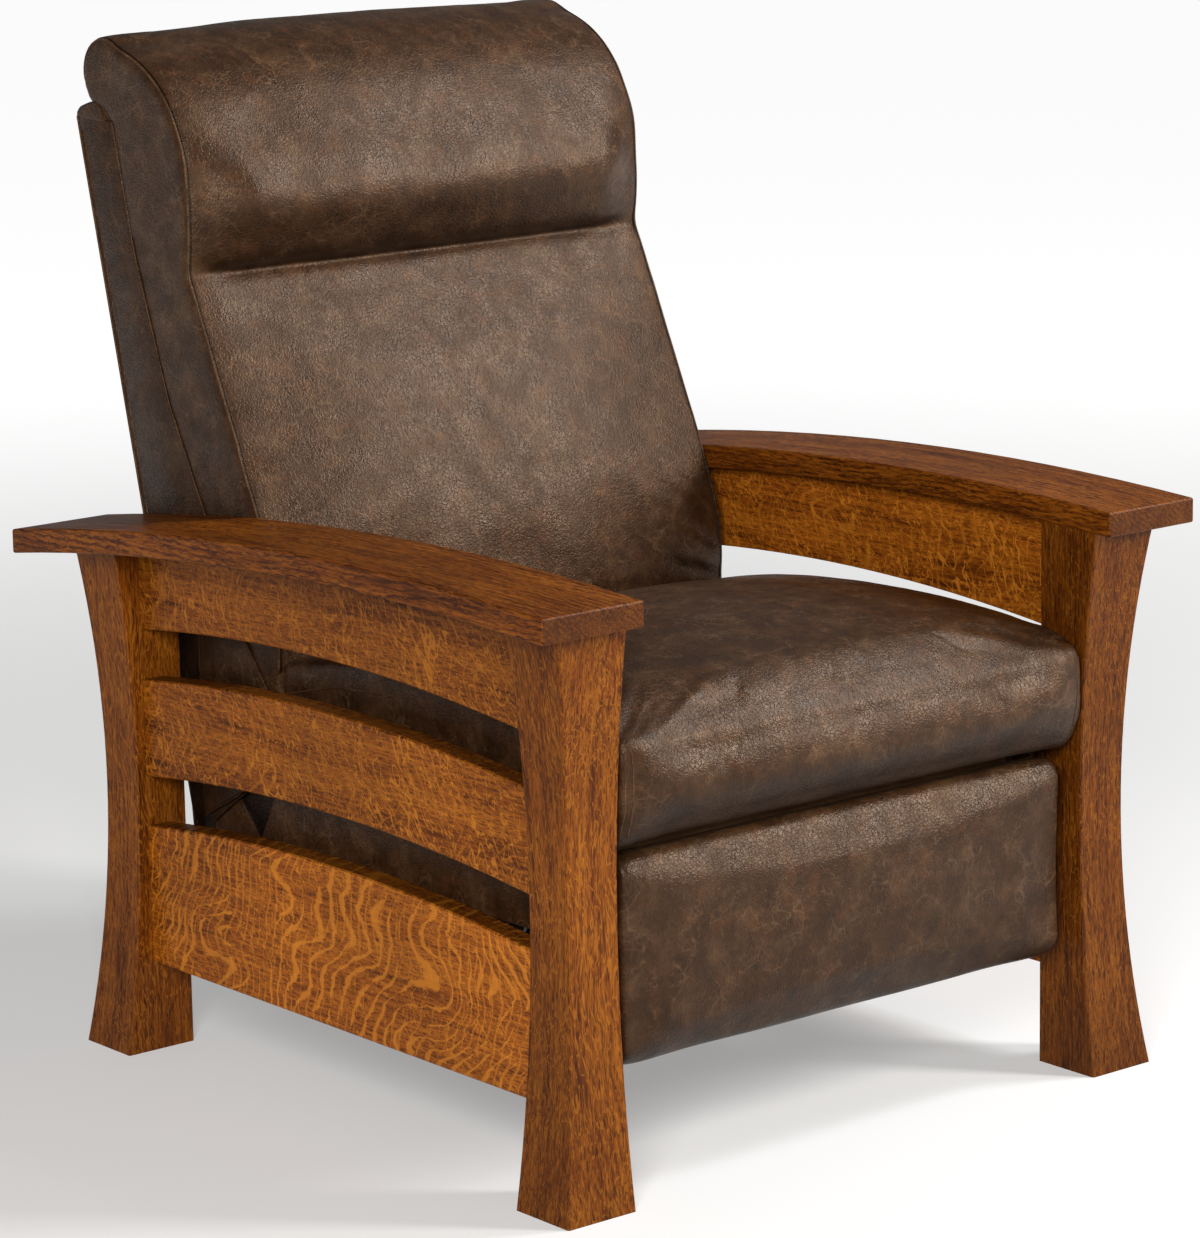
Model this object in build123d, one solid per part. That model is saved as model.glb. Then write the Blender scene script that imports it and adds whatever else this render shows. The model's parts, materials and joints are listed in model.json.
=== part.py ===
from build123d import *
import math
import os

# Mission armchair with a reclining back and a fold-out footrest.
# Millimetres. +Z is up, the chair faces -Y, and +X is the sitter's left.
# The origin is on the floor, under the middle of the chair's bounding box.

# Wooden side frames
overall_depth = 935.0
arm_length = 900.0
arm_width = 122.5
arm_thickness = 26.0
arm_gap = 614.0
arm_front_height = 602.0
arm_middle_height = 605.5
arm_rear_height = 560.0
arm_edge_round = 2.5
leg_setback = 21.4
leg_gap = 620.0
leg_spacing = 664.0
foot_width = 84.0
foot_depth = 81.0
waist_width = 60.5
waist_depth = 60.0
leg_edge_chamfer = 1.5
cut_overrun = 20.0
rail_thickness = 25.0
rail_inset = 24.2
rail_bow = 21.0
rail_edge_chamfer = 1.5
bottom_rail_lift = 98.5
bottom_rail_height = 150.0
middle_rail_height = 105.0
slot_height = 54.0
tenon_length = 30.0
tenon_thickness = 10.0
tenon_shoulder = 12.0
wood_fit = 0.2
dowel_radius = 4.0
dowel_in_leg = 24.0
dowel_in_arm = 17.0
dowel_pitch = 32.0
stretcher_height = 80.0
stretcher_lift = 105.0
stretcher_setback = 26.0

# Base of the mechanism, fixed to the side frames
cleat_height = 93.0
cleat_below_pivot = 48.0
cleat_end_gap = 18.0
cleat_reach = 34.0
plate_thickness = 4.0
plate_gap = 1.0
lug_radius = 11.0
link_width = 20.0
stud_radius = 5.0
stud_fit = 0.05
head_radius = 8.0
head_thickness = 2.0
head_fit = 0.1
base_plate_height = 34.0
base_plate_front = 92.0
base_plate_rear = 215.0
tube_radius = 12.5
tube_wall = 1.5
base_tube_behind_middle = 45.0
base_tube_below_pivot = 10.0
bolt_radius = 3.0
bolt_head_radius = 5.5
bolt_head_height = 3.5
bolt_fit = 0.15
base_bolt_reach = 26.0
frame_bolt_reach = 20.0
bolt_end_margin = 14.0

# Swing links that carry the seat
swing_length = 105.0
swing_lean = 15.0
swing_head_drop = 80.6
front_swing_ahead = 60.0
swing_spacing = 210.0
shaft_radius = 8.0
shaft_share = 0.47

# Seat frame
seat_frame_height = 342.0
seat_rail_height = 45.0
seat_rail_thickness = 26.0
cross_rail_thickness = 35.0
seat_front_ahead = 305.0
seat_rear_behind = 235.0
deck_thickness = 6.0
deck_ahead = 38.0
deck_seat = 14.0
deck_margin = 4.0
skirt_thickness = 7.5
skirt_height = 98.0
skirt_front_gap = 25.0
skirt_rear_rake = 52.0
skirt_rear_behind = 150.0
batten_setback = 20.0
batten_height = 43.0
skirt_fit = 0.2

# Springs of the seat and the back
wire_radius = 1.75
spring_half_width = 27.0
seat_spring_count = 4
seat_spring_turns = 13
seat_spring_overlap = 18.0
back_spring_count = 3
back_spring_turns = 15
back_spring_overlap = 14.0
spring_fit = 0.2

# Seat cushion
seat_width = 613.0
seat_cushion_ahead = 402.0
seat_cushion_behind = 158.0
seat_cushion_fit = 0.5
seat_cushion_rise = 137.0
seat_crown = 18.0
seat_front_bulge = 7.0

# Footrest
footrest_width = 590.0
footrest_face_ahead = 389.0
footrest_back_ahead = 340.0
footrest_base = 128.0
footrest_top_gap = 2.0
footrest_board_thickness = 18.0
footrest_margin = 5.0
footrest_bulge = 9.0
footrest_fit = 0.2
bracket_flange = 30.0
bracket_foot_share = 0.25
bracket_head_share = 0.75

# Footrest links: the lift link swings, the reach link unfolds from its end
lift_pivot_ahead = 215.0
lift_pivot_drop = 88.0
lift_length = 150.9
lift_angle = -60.0
reach_length = 240.1
reach_angle = 138.0
control_pivot_ahead = 269.0
control_pivot_drop = 59.7
control_length = 151.6
control_angle = -55.7
torque_tube_radius = 9.0
torque_tube_share = 0.265

# Back
back_width = 610.0
back_front_behind = 156.0
back_depth = 344.6
back_foot_drop = 51.0
back_rise = 817.0
back_crown = 12.0
cushion_draw = 6.0
roll_bulge = 9.0
roll_crown = 9.5
seam_fit = 0.3
back_panel_thickness = 8.0
back_side_thickness = 8.0
back_fit = 0.5
post_thickness = 25.0
post_notch_fit = 1.5
back_rail_drop = 6.0
hinge_behind = 262.0
hinge_drop = 42.0
hinge_plate_length = 118.0
hinge_plate_angle = 66.0
hinge_plate_width = 30.0
back_rail_height = 45.0
back_top_rail_depth = 34.0
back_bottom_rail_depth = 30.0
back_bottom_rail_drop = 50.0
back_spring_room = 6.0

# Places that follow from the sizes
front_leg_back = -overall_depth / 2 + leg_setback + foot_depth
middle_y = front_leg_back + leg_spacing / 2
rear_leg_front = front_leg_back + leg_spacing
arm_front = -overall_depth / 2
leg_inner = leg_gap / 2
waist_height = (arm_middle_height - arm_thickness) / 2
rail_outer = leg_inner + rail_inset + rail_thickness
rail_inner = leg_inner + rail_inset
cleat_inner = rail_inner - cleat_reach
base_layer = cleat_inner - plate_thickness
swing_layer = base_layer - plate_gap - plate_thickness
seat_layer = swing_layer - plate_gap - plate_thickness
lift_layer = seat_layer - plate_gap - plate_thickness
reach_layer = lift_layer - plate_gap - plate_thickness
seat_rail_bottom = seat_frame_height - seat_rail_height
seat_front = middle_y - seat_front_ahead
seat_rear = middle_y + seat_rear_behind
seat_cushion_base = seat_frame_height + deck_thickness + seat_cushion_fit
footrest_top = seat_frame_height - footrest_top_gap
hinge_height = seat_frame_height - hinge_drop
back_base = hinge_height - back_foot_drop
swing_rise = swing_length * math.cos(math.radians(swing_lean))
swing_height = seat_frame_height - swing_head_drop - swing_rise
cleat_lift = swing_height - cleat_below_pivot
base_tube_height = swing_height - base_tube_below_pivot
front_swing_foot = (middle_y - front_swing_ahead, swing_height)
rear_swing_foot = (front_swing_foot[0] + swing_spacing, swing_height)


def polar(point, angle, distance):
    """The point that lies a distance away from another, at an angle from +Y towards +Z."""
    turn = math.radians(angle)
    return (point[0] + distance * math.cos(turn), point[1] + distance * math.sin(turn))


front_swing_head = polar(front_swing_foot, 90 - swing_lean, swing_length)
rear_swing_head = polar(rear_swing_foot, 90 - swing_lean, swing_length)
lift_pivot = (middle_y - lift_pivot_ahead, seat_frame_height - lift_pivot_drop)
elbow = polar(lift_pivot, lift_angle, lift_length)
footrest_pivot = polar(elbow, reach_angle, reach_length)
control_pivot = (middle_y - control_pivot_ahead, seat_frame_height - control_pivot_drop)
control_end = polar(control_pivot, control_angle, control_length)
hinge = (middle_y + hinge_behind, hinge_height)

nodes = {}


def outline(start, *moves):
    """A face in (Y, Z): each move is a point for a straight run, or (way point, end) for an arc."""
    edges, here = [], start
    for move in moves:
        if isinstance(move[0], tuple):
            edges.append(ThreePointArc(here, move[0], move[1]))
            here = move[1]
        else:
            edges.append(Line(here, move))
            here = move
    if here != start:
        edges.append(Line(here, start))
    return make_face(edges)


def rectangle(y0, z0, y1, z1):
    return outline((y0, z0), (y1, z0), (y1, z1), (y0, z1))


def bar(start, end, width):
    """A flat bar with round ends."""
    along = math.degrees(math.atan2(end[1] - start[1], end[0] - start[0]))
    a = polar(start, along - 90, width / 2)
    b = polar(end, along - 90, width / 2)
    c = polar(end, along + 90, width / 2)
    d = polar(start, along + 90, width / 2)
    return outline(a, b, (polar(end, along, width / 2), c), d, (polar(start, along + 180, width / 2), a))


def disc(point, radius):
    return Pos(point[0], point[1]) * Circle(radius)


def slab(face, x0, x1):
    """The (Y, Z) face as a solid between two X positions."""
    return extrude(Plane.YZ.offset(x0) * face, amount=x1 - x0)


def cylinder(point, radius, x0, x1):
    return slab(disc(point, radius), x0, x1)


def block(x0, y0, z0, x1, y1, z1):
    return slab(rectangle(y0, z0, y1, z1), x0, x1)


def both_sides(name, solid):
    """The piece made at +X is the sitter's left one, and its mirror image the right one."""
    nodes[name + "_left"] = solid
    nodes[name + "_right"] = mirror(solid, about=Plane.YZ)


def across(solid):
    return solid + mirror(solid, about=Plane.YZ)


def mirrored_group(pieces):
    """Separate small pieces of one kind, with their mirror images, as one node."""
    images = [mirror(piece, about=Plane.YZ) for piece in pieces]
    return Compound([solid for piece in pieces + images for solid in piece.solids()])


def headed_stud(point, x_root, x_end, inward):
    """A shoulder stud that starts in its plate, passes the next plate and ends in a head."""
    step = -1 if inward else 1
    neck = x_end + step * head_fit
    low, high = sorted((x_root, neck))
    head_low, head_high = sorted((neck, neck + step * head_thickness))
    return cylinder(point, stud_radius, low, high) + cylinder(point, head_radius, head_low, head_high)


# Wooden side frames

def circle_through(a, b, c):
    """Centre and radius of the circle through three points."""
    d = 2 * (a[0] * (b[1] - c[1]) + b[0] * (c[1] - a[1]) + c[0] * (a[1] - b[1]))
    squares = [p[0] ** 2 + p[1] ** 2 for p in (a, b, c)]
    y = (squares[0] * (b[1] - c[1]) + squares[1] * (c[1] - a[1]) + squares[2] * (a[1] - b[1])) / d
    z = (squares[0] * (c[0] - b[0]) + squares[1] * (a[0] - c[0]) + squares[2] * (b[0] - a[0])) / d
    return y, z, math.hypot(a[0] - y, a[1] - z)


arm_circle = circle_through(
    (arm_front, arm_front_height),
    (arm_front + arm_length / 2, arm_middle_height),
    (arm_front + arm_length, arm_rear_height),
)


def arm_top(y):
    sag = math.sqrt(arm_circle[2] ** 2 - (y - arm_circle[0]) ** 2)
    return arm_circle[1] + math.copysign(sag, arm_front_height - arm_circle[1])


def arm_under(y):
    return arm_top(y) - arm_thickness


def arm_arc(height, y0, y1, drop):
    """Way point and end of the arm's curve between two places, lowered by a drop."""
    return ((y0 + y1) / 2, height((y0 + y1) / 2) - drop), (y1, height(y1) - drop)


def flare(waist, foot, z):
    """Width of a leg at a height: its face is an arc, narrowest at the waist."""
    inset = foot - waist
    radius = (waist_height ** 2 + inset ** 2) / (2 * inset)
    return waist + radius - math.sqrt(radius ** 2 - (z - waist_height) ** 2)


def leg_blank():
    """A front leg at +X, hollowed on its outer and front faces, with spare length at both ends."""
    low, high = -cut_overrun, arm_middle_height
    front_view = outline(
        (leg_inner, low),
        (leg_inner + flare(waist_width, foot_width, low), low),
        ((leg_inner + waist_width, waist_height), (leg_inner + flare(waist_width, foot_width, high), high)),
        (leg_inner, high),
    )
    side_view = outline(
        (front_leg_back, low),
        (front_leg_back, high),
        (front_leg_back - flare(waist_depth, foot_depth, high), high),
        ((front_leg_back - waist_depth, waist_height),
         (front_leg_back - flare(waist_depth, foot_depth, low), low)),
    )
    depth = foot_depth * 2
    seen_from_front = extrude(Plane.XZ.offset(-front_leg_back) * front_view, amount=depth)
    seen_from_side = slab(side_view, leg_inner, leg_inner + foot_width * 2)
    leg = seen_from_front & seen_from_side
    return chamfer(leg.edges().filter_by(lambda e: e.length > waist_height), leg_edge_chamfer)


def above_arms():
    """All the space over the underside of an arm, down to the glue line, as a cutter."""
    ends = arm_front, arm_front + arm_length
    top = arm_middle_height * 2
    face = outline(
        (ends[0], arm_under(ends[0]) - wood_fit),
        arm_arc(arm_under, ends[0], ends[1], wood_fit),
        (ends[1], top),
        (ends[0], top),
    )
    return slab(face, leg_inner - foot_width, leg_inner + foot_width * 2)


def under_floor():
    span = leg_inner + foot_width * 2
    return block(-span, arm_front, -cut_overrun * 2, span, arm_front + overall_depth, 0)


def rail_levels():
    """Each side rail's name, lower edge and upper edge at its ends. The top rail meets the arm."""
    bottom_top = bottom_rail_lift + bottom_rail_height
    middle_low = bottom_top + slot_height
    middle_top = middle_low + middle_rail_height
    return (
        ("bottom_rail", bottom_rail_lift, bottom_top),
        ("middle_rail", middle_low, middle_top),
        ("top_rail", middle_top + slot_height, None),
    )


def tenon_span(low, high):
    if high is None:
        high = min(arm_under(front_leg_back), arm_under(rear_leg_front))
    return low + tenon_shoulder, high - tenon_shoulder


def tenon_box(low, high, y0, y1, grow):
    middle = (rail_inner + rail_outer) / 2
    half = tenon_thickness / 2 + grow
    z0, z1 = tenon_span(low, high)
    return block(middle - half, y0, z0 - grow, middle + half, y1, z1 + grow)


def rail_arc(y0, y1, level):
    """Way point and end of a rail's bowed edge, which is at a level where it meets the legs."""
    half = leg_spacing / 2
    radius = (half ** 2 + rail_bow ** 2) / (2 * rail_bow)

    def place(y):
        return y, level + rail_bow - radius + math.sqrt(radius ** 2 - (y - middle_y) ** 2)

    return place((y0 + y1) / 2), place(y1)


def side_rail(low, high):
    """A side rail with bowed edges and a tenon at each end. The top rail follows the arm."""
    y0, y1 = front_leg_back + wood_fit, rear_leg_front - wood_fit
    a, b = y0 - cut_overrun, y1 + cut_overrun
    if low == bottom_rail_lift:
        lower = [(b, low)]
        start = (a, low)
    else:
        lower = [rail_arc(a, b, low)]
        start = rail_arc(b, a, low)[1]
    if high is None:
        upper = [(b, arm_under(b) - wood_fit), arm_arc(arm_under, b, a, wood_fit)]
    else:
        upper = [rail_arc(a, b, high)[1], rail_arc(b, a, high)]
    board = slab(outline(start, *lower, *upper), rail_inner, rail_outer)
    long_edges = board.faces().sort_by(Axis.X)[-1].edges().filter_by(lambda e: e.length > leg_spacing / 2)
    board = chamfer(long_edges, rail_edge_chamfer)
    board &= block(rail_inner, y0, 0, rail_outer, y1, arm_middle_height)
    front = tenon_box(low, high, y0 - tenon_length, y0, 0)
    rear = tenon_box(low, high, y1, y1 + tenon_length, 0)
    return board + front + rear


def stretcher_front():
    return rear_leg_front + stretcher_setback


def stretcher_tenon(grow):
    y = stretcher_front() + rail_thickness / 2
    half = tenon_thickness / 2 + grow
    low = stretcher_lift + tenon_shoulder - grow
    high = stretcher_lift + stretcher_height - tenon_shoulder + grow
    return block(leg_inner - wood_fit, y - half, low, leg_inner + tenon_length + grow, y + half, high)


def dowel_places():
    """Where the dowels between the arms and the legs stand, at +X."""
    x = leg_inner + waist_width / 2
    half = dowel_pitch / 2
    inset = tenon_length + dowel_radius * 3
    places = []
    for y in (front_leg_back - inset, rear_leg_front + inset):
        places += [(x - half, y), (x + half, y)]
    return places


def dowel(x, y, grow):
    joint = arm_under(y)
    low = joint - dowel_in_leg - grow
    return Pos(x, y, low) * Cylinder(
        dowel_radius + grow,
        dowel_in_leg + dowel_in_arm + 2 * grow,
        align=(Align.CENTER, Align.CENTER, Align.MIN),
    )


def make_side_frames():
    blank = leg_blank()
    flip = Plane.XZ.offset(-middle_y)
    tall = {"leg_front": blank, "leg_rear": mirror(blank, about=flip)}
    over, under = above_arms(), under_floor()
    for name, leg in tall.items():
        leg = leg - over - under
        for _, low, high in rail_levels():
            reach = tenon_length + wood_fit
            if name == "leg_front":
                leg -= tenon_box(low, high, front_leg_back - reach, front_leg_back + wood_fit, wood_fit)
            else:
                leg -= tenon_box(low, high, rear_leg_front - wood_fit, rear_leg_front + reach, wood_fit)
        if name == "leg_rear":
            leg -= stretcher_tenon(wood_fit)
        for x, y in dowel_places():
            leg -= dowel(x, y, wood_fit)
        both_sides(name, leg)
    for name, low, high in rail_levels():
        both_sides(name, side_rail(low, high))

    x0, x1 = arm_gap / 2, arm_gap / 2 + arm_width
    y0, y1 = arm_front, arm_front + arm_length
    arm = slab(
        outline(
            (y0, arm_under(y0)),
            arm_arc(arm_under, y0, y1, 0),
            (y1, arm_top(y1)),
            arm_arc(arm_top, y1, y0, 0),
        ),
        x0,
        x1,
    )
    arm = fillet(arm.edges(), arm_edge_round)
    for x, y in dowel_places():
        arm -= dowel(x, y, wood_fit)
    both_sides("arm", arm)
    nodes["arm_dowels"] = mirrored_group([dowel(x, y, 0) for x, y in dowel_places()])

    y = stretcher_front()
    half = block(0, y, stretcher_lift, leg_inner - wood_fit, y + rail_thickness,
                 stretcher_lift + stretcher_height)
    tenon = stretcher_tenon(0) - block(leg_inner + tenon_length, y, 0, leg_gap, y + rail_thickness,
                                       arm_front_height)
    nodes["rear_stretcher"] = across(half + tenon)


# Base of the mechanism

def bolt(x, y, z, shank, head_inward):
    """A bolt along X: its head lies on the face at x and its shank goes the other way."""
    step = -1 if head_inward else 1
    head_low, head_high = sorted((x, x + step * bolt_head_height))
    shank_low, shank_high = sorted((x, x - step * shank))
    head = slab(Pos(y, z) * RegularPolygon(bolt_head_radius, 6), head_low, head_high)
    return head + cylinder((y, z), bolt_radius, shank_low, shank_high)


def base_bolt_places():
    front = front_swing_foot[0] - base_plate_front + front_swing_ahead
    low = swing_height
    return (
        (front + bolt_end_margin, low),
        (middle_y + base_tube_behind_middle - base_plate_height, low),
        (middle_y + base_plate_rear - bolt_end_margin, low),
    )


def make_base():
    y0 = front_leg_back + cleat_end_gap
    y1 = rear_leg_front - cleat_end_gap
    cleat = block(cleat_inner, y0, cleat_lift, rail_inner - wood_fit, y1, cleat_lift + cleat_height)
    hole = bolt_radius + bolt_fit
    for place in base_bolt_places():
        cleat -= cylinder(place, hole, cleat_inner, cleat_inner + base_bolt_reach)
    both_sides("mechanism_cleat", cleat)

    tube_centre = (middle_y + base_tube_behind_middle, base_tube_height)
    half = base_plate_height / 2
    plate_face = bar(
        (front_swing_foot[0] - base_plate_front + front_swing_ahead + half, swing_height),
        (middle_y + base_plate_rear - half, swing_height),
        base_plate_height,
    )
    plate_face += bar((tube_centre[0], swing_height), tube_centre, (tube_radius + lug_radius / 2) * 2)
    plate = slab(plate_face, base_layer, cleat_inner)
    for place in base_bolt_places():
        plate -= cylinder(place, hole, base_layer, cleat_inner)
    for foot in (front_swing_foot, rear_swing_foot):
        plate += headed_stud(foot, cleat_inner, swing_layer, True)
    both_sides("base_plate", plate)

    tube = cylinder(tube_centre, tube_radius, -base_layer, base_layer)
    tube -= cylinder(tube_centre, tube_radius - tube_wall, -base_layer, base_layer)
    nodes["base_tube"] = tube

    bolts = [bolt(base_layer, y, z, plate_thickness + base_bolt_reach - bolt_fit * 2, True)
             for y, z in base_bolt_places()]
    nodes["base_bolts"] = mirrored_group(bolts)


def swing_link(foot, head):
    face = bar(foot, head, link_width) - disc(foot, stud_radius + stud_fit)
    face -= disc(head, stud_radius + stud_fit)
    return slab(face, swing_layer, swing_layer + plate_thickness)


def make_swing_links():
    both_sides("front_swing_link", swing_link(front_swing_foot, front_swing_head))
    both_sides("rear_swing_link", swing_link(rear_swing_foot, rear_swing_head))
    centre = polar(front_swing_foot, 90 - swing_lean, swing_length * shaft_share)
    shaft = cylinder(centre, shaft_radius, -swing_layer, swing_layer)
    shaft -= cylinder(centre, shaft_radius - tube_wall, -swing_layer, swing_layer)
    nodes["swing_shaft"] = shaft


# Seat frame

def frame_bolt_places():
    height = seat_frame_height - seat_rail_height / 2
    y0 = seat_front + cross_rail_thickness + bolt_end_margin
    y1 = seat_rear - cross_rail_thickness - bolt_end_margin
    return tuple((y0 + (y1 - y0) * step / 3, height) for step in range(4))


def seat_side_plate():
    """The steel plate on each side of the seat: all the seat's pivots are in it."""
    low = seat_rail_bottom
    strip = rectangle(seat_front, low - lug_radius / 2, seat_rear, seat_frame_height - deck_thickness)
    face = strip
    for pivot in (lift_pivot, control_pivot, front_swing_head, rear_swing_head):
        face += bar(pivot, (pivot[0], low + lug_radius), lug_radius * 2)
    face += bar((seat_rear - lug_radius * 2, hinge_height), hinge, lug_radius * 2)
    face -= disc(hinge, stud_radius + stud_fit)
    plate = slab(face, seat_layer, seat_layer + plate_thickness)
    for place in frame_bolt_places():
        plate -= cylinder(place, bolt_radius + bolt_fit, seat_layer, seat_layer + plate_thickness)
    for pivot in (front_swing_head, rear_swing_head):
        plate += headed_stud(pivot, seat_layer, swing_layer + plate_thickness, False)
    for pivot in (lift_pivot, control_pivot):
        plate += headed_stud(pivot, seat_layer + plate_thickness, lift_layer, True)
    return plate


def make_seat_frame():
    both_sides("seat_side_plate", seat_side_plate())
    low, high = seat_rail_bottom, seat_frame_height
    y0, y1 = seat_front + cross_rail_thickness, seat_rear - cross_rail_thickness
    rail = block(seat_layer - seat_rail_thickness, y0, low, seat_layer, y1, high)
    for place in frame_bolt_places():
        rail -= cylinder(place, bolt_radius + bolt_fit, seat_layer - frame_bolt_reach, seat_layer)
    both_sides("seat_side_rail", rail)
    nodes["seat_front_rail"] = block(-seat_layer, seat_front, low, seat_layer, y0, high)
    nodes["seat_rear_rail"] = block(-seat_layer, y1, low, seat_layer, seat_rear, high)
    deck_front, deck_rear = seat_front - deck_ahead, seat_front + deck_seat
    deck_top = high + deck_thickness
    nodes["seat_front_deck"] = block(-seat_layer, deck_front, high, seat_layer, deck_rear, deck_top)

    outer = seat_layer + plate_thickness
    bolts = [bolt(outer, y, z, plate_thickness + frame_bolt_reach - bolt_fit * 2, False)
             for y, z in frame_bolt_places()]
    nodes["frame_bolts"] = mirrored_group(bolts)

    x1 = back_width / 2
    x0 = x1 - skirt_thickness
    front = seat_front - skirt_front_gap
    rear = middle_y + skirt_rear_behind
    top = seat_frame_height + deck_thickness - deck_margin
    low, foot = top - skirt_height, rear + skirt_rear_rake
    skirt = slab(outline((front, low), (foot, low), (rear, top), (front, top)), x0, x1)
    batten = block(outer + skirt_fit, seat_front, top - batten_height, x0, rear - batten_setback, top)
    for place in frame_bolt_places():
        batten -= cylinder(place, bolt_head_radius + bolt_fit * 4, outer, x0)
    both_sides("seat_side_panel", skirt + batten)


# Springs

def serpentine(turns, length, half_width):
    """One sinuous wire lying in the XY plane, from the origin along +Y."""
    bend = length / (2 * turns)
    run = half_width - bend
    edges, x, y, side = [], 0.0, 0.0, 1
    for _ in range(turns):
        edges.append(Line((x, y), (side * run, y)))
        turn_end = (side * run, y + 2 * bend)
        edges.append(ThreePointArc((side * run, y), (side * (run + bend), y + bend), turn_end))
        x, y, side = *turn_end, -side
    edges.append(Line((x, y), (0, y)))
    path = Wire(edges)
    section = Plane(origin=(0, 0, 0), x_dir=(0, 1, 0), z_dir=(1, 0, 0)) * Circle(wire_radius)
    gap = 2 * bend - 2 * wire_radius
    return sweep(section, path=path), gap


def spring_row(count, turns, length, clear_width, name):
    wire, gap = serpentine(turns, length, spring_half_width)
    print(name, "turns", turns * count, "least gap between turns", round(gap, 2))
    step = clear_width / count
    first = -clear_width / 2 + step / 2
    return [Pos(first + step * index, 0, 0) * wire for index in range(count)]


def make_seat_springs():
    start = seat_front + cross_rail_thickness - seat_spring_overlap + wire_radius
    end = seat_rear - cross_rail_thickness + seat_spring_overlap - wire_radius
    clear = 2 * (seat_layer - seat_rail_thickness)
    height = seat_frame_height + wire_radius + spring_fit
    row = spring_row(seat_spring_count, seat_spring_turns, end - start, clear, "seat springs")
    nodes["seat_springs"] = Compound([s for w in row for s in (Pos(0, start, height) * w).solids()])


# Soft parts: each is lofted across the chair through side views that fill out towards the middle.
# A table of shares gives a side view's points as shares of the cushion's depth and rise.

crown_shares = ((1.0, 0.0, 1.0), (0.96, 0.08, 0.2), (0.8, 0.36, 0.0), (0.45, 0.8, 0.0), (0.0, 1.0, 0.0))
seat_bottom_shares = ((0.045, 0.0), (1.0, 0.0))
seat_top_shares = ((0.992, 0.719), (0.4375, 1.003), (0.116, 0.938))
seat_front_shares = ((0.047, 0.885), (0.0036, 0.777), (0.0, 0.376), (0.025, 0.04))
seat_rear_crown_share = 0.25
seat_corner_crown_share = 0.7


def stations(width):
    """X positions across a cushion, with how full and how drawn in it is at each."""
    half = width / 2
    left = [(-half * place, full, drawn) for place, full, drawn in crown_shares]
    right = [(half * place, full, drawn) for place, full, drawn in reversed(crown_shares[:-1])]
    return left + right


def crowned(width, section):
    """A cushion lofted across the chair through one outline per station."""
    return loft([Plane.YZ.offset(x) * section(full, drawn) for x, full, drawn in stations(width)])


def nudged(point, dy, dz):
    return point[0] + dy, point[1] + dz


def seat_point(shares):
    front = middle_y - seat_cushion_ahead
    depth = seat_cushion_ahead + seat_cushion_behind
    return front + depth * shares[0], seat_cushion_base + seat_cushion_rise * shares[1]


def seat_section(full, drawn):
    bulge = seat_front_bulge * full - cushion_draw * drawn
    lift = seat_crown * full - cushion_draw * drawn
    front, rear = [seat_point(share) for share in seat_bottom_shares]
    rear_top, middle_top, front_top = [seat_point(share) for share in seat_top_shares]
    corner, upper, face, lower = [seat_point(share) for share in seat_front_shares]
    return outline(
        front,
        rear,
        nudged(rear_top, 0, lift * seat_rear_crown_share),
        (nudged(middle_top, 0, lift), nudged(front_top, 0, lift * seat_corner_crown_share)),
        (nudged(corner, -bulge / 2, lift / 2), nudged(upper, -bulge, 0)),
        (nudged(face, -bulge, 0), lower),
    )


def make_seat_cushion():
    nodes["seat_cushion"] = crowned(seat_width, seat_section)


footrest_corner_share = 0.3


def footrest_section(full, drawn):
    """The padded face and the cover's returns round the board, before the board's place is cut out."""
    front = middle_y - footrest_face_ahead + footrest_bulge
    back = middle_y - footrest_back_ahead
    draw = cushion_draw * drawn / 2
    low, high = footrest_base + draw, footrest_top - draw
    corner = footrest_board_thickness
    small = corner * footrest_corner_share
    return outline(
        (back, low),
        (back, high),
        (front + corner, high),
        ((front + small, high - small), (front, high - corner)),
        ((front - footrest_bulge * full + draw, (low + high) / 2), (front, low + corner)),
        ((front + small, low + small), (front + corner, low)),
    )


def make_footrest():
    back = middle_y - footrest_back_ahead
    front = back - footrest_board_thickness
    half = footrest_width / 2 - footrest_margin
    low, high = footrest_base + footrest_margin, footrest_top - footrest_margin
    nodes["footrest_board"] = block(-half, front, low, half, back, high)
    pocket = block(-half - footrest_fit, front - footrest_fit, low - footrest_fit,
                   half + footrest_fit, back, high + footrest_fit)
    nodes["footrest_pad"] = crowned(footrest_width, footrest_section) - pocket

    rise = footrest_top - footrest_base
    flange_low = footrest_base + rise * bracket_foot_share
    flange_high = footrest_base + rise * bracket_head_share
    outer = lift_layer + plate_thickness
    flange = block(outer - bracket_flange, back, flange_low, outer, back + plate_thickness, flange_high)
    web = outline(
        (back, flange_low),
        (back + plate_thickness * 2, flange_low),
        nudged(footrest_pivot, lug_radius, -lug_radius),
        nudged(footrest_pivot, lug_radius, 0),
        (polar(footrest_pivot, 90, lug_radius), (footrest_pivot[0] - lug_radius, footrest_pivot[1])),
        (back, flange_high),
    )
    bracket = flange + slab(web, lift_layer, outer)
    bracket += headed_stud(footrest_pivot, outer, reach_layer, True)
    both_sides("footrest_bracket", bracket)


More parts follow.
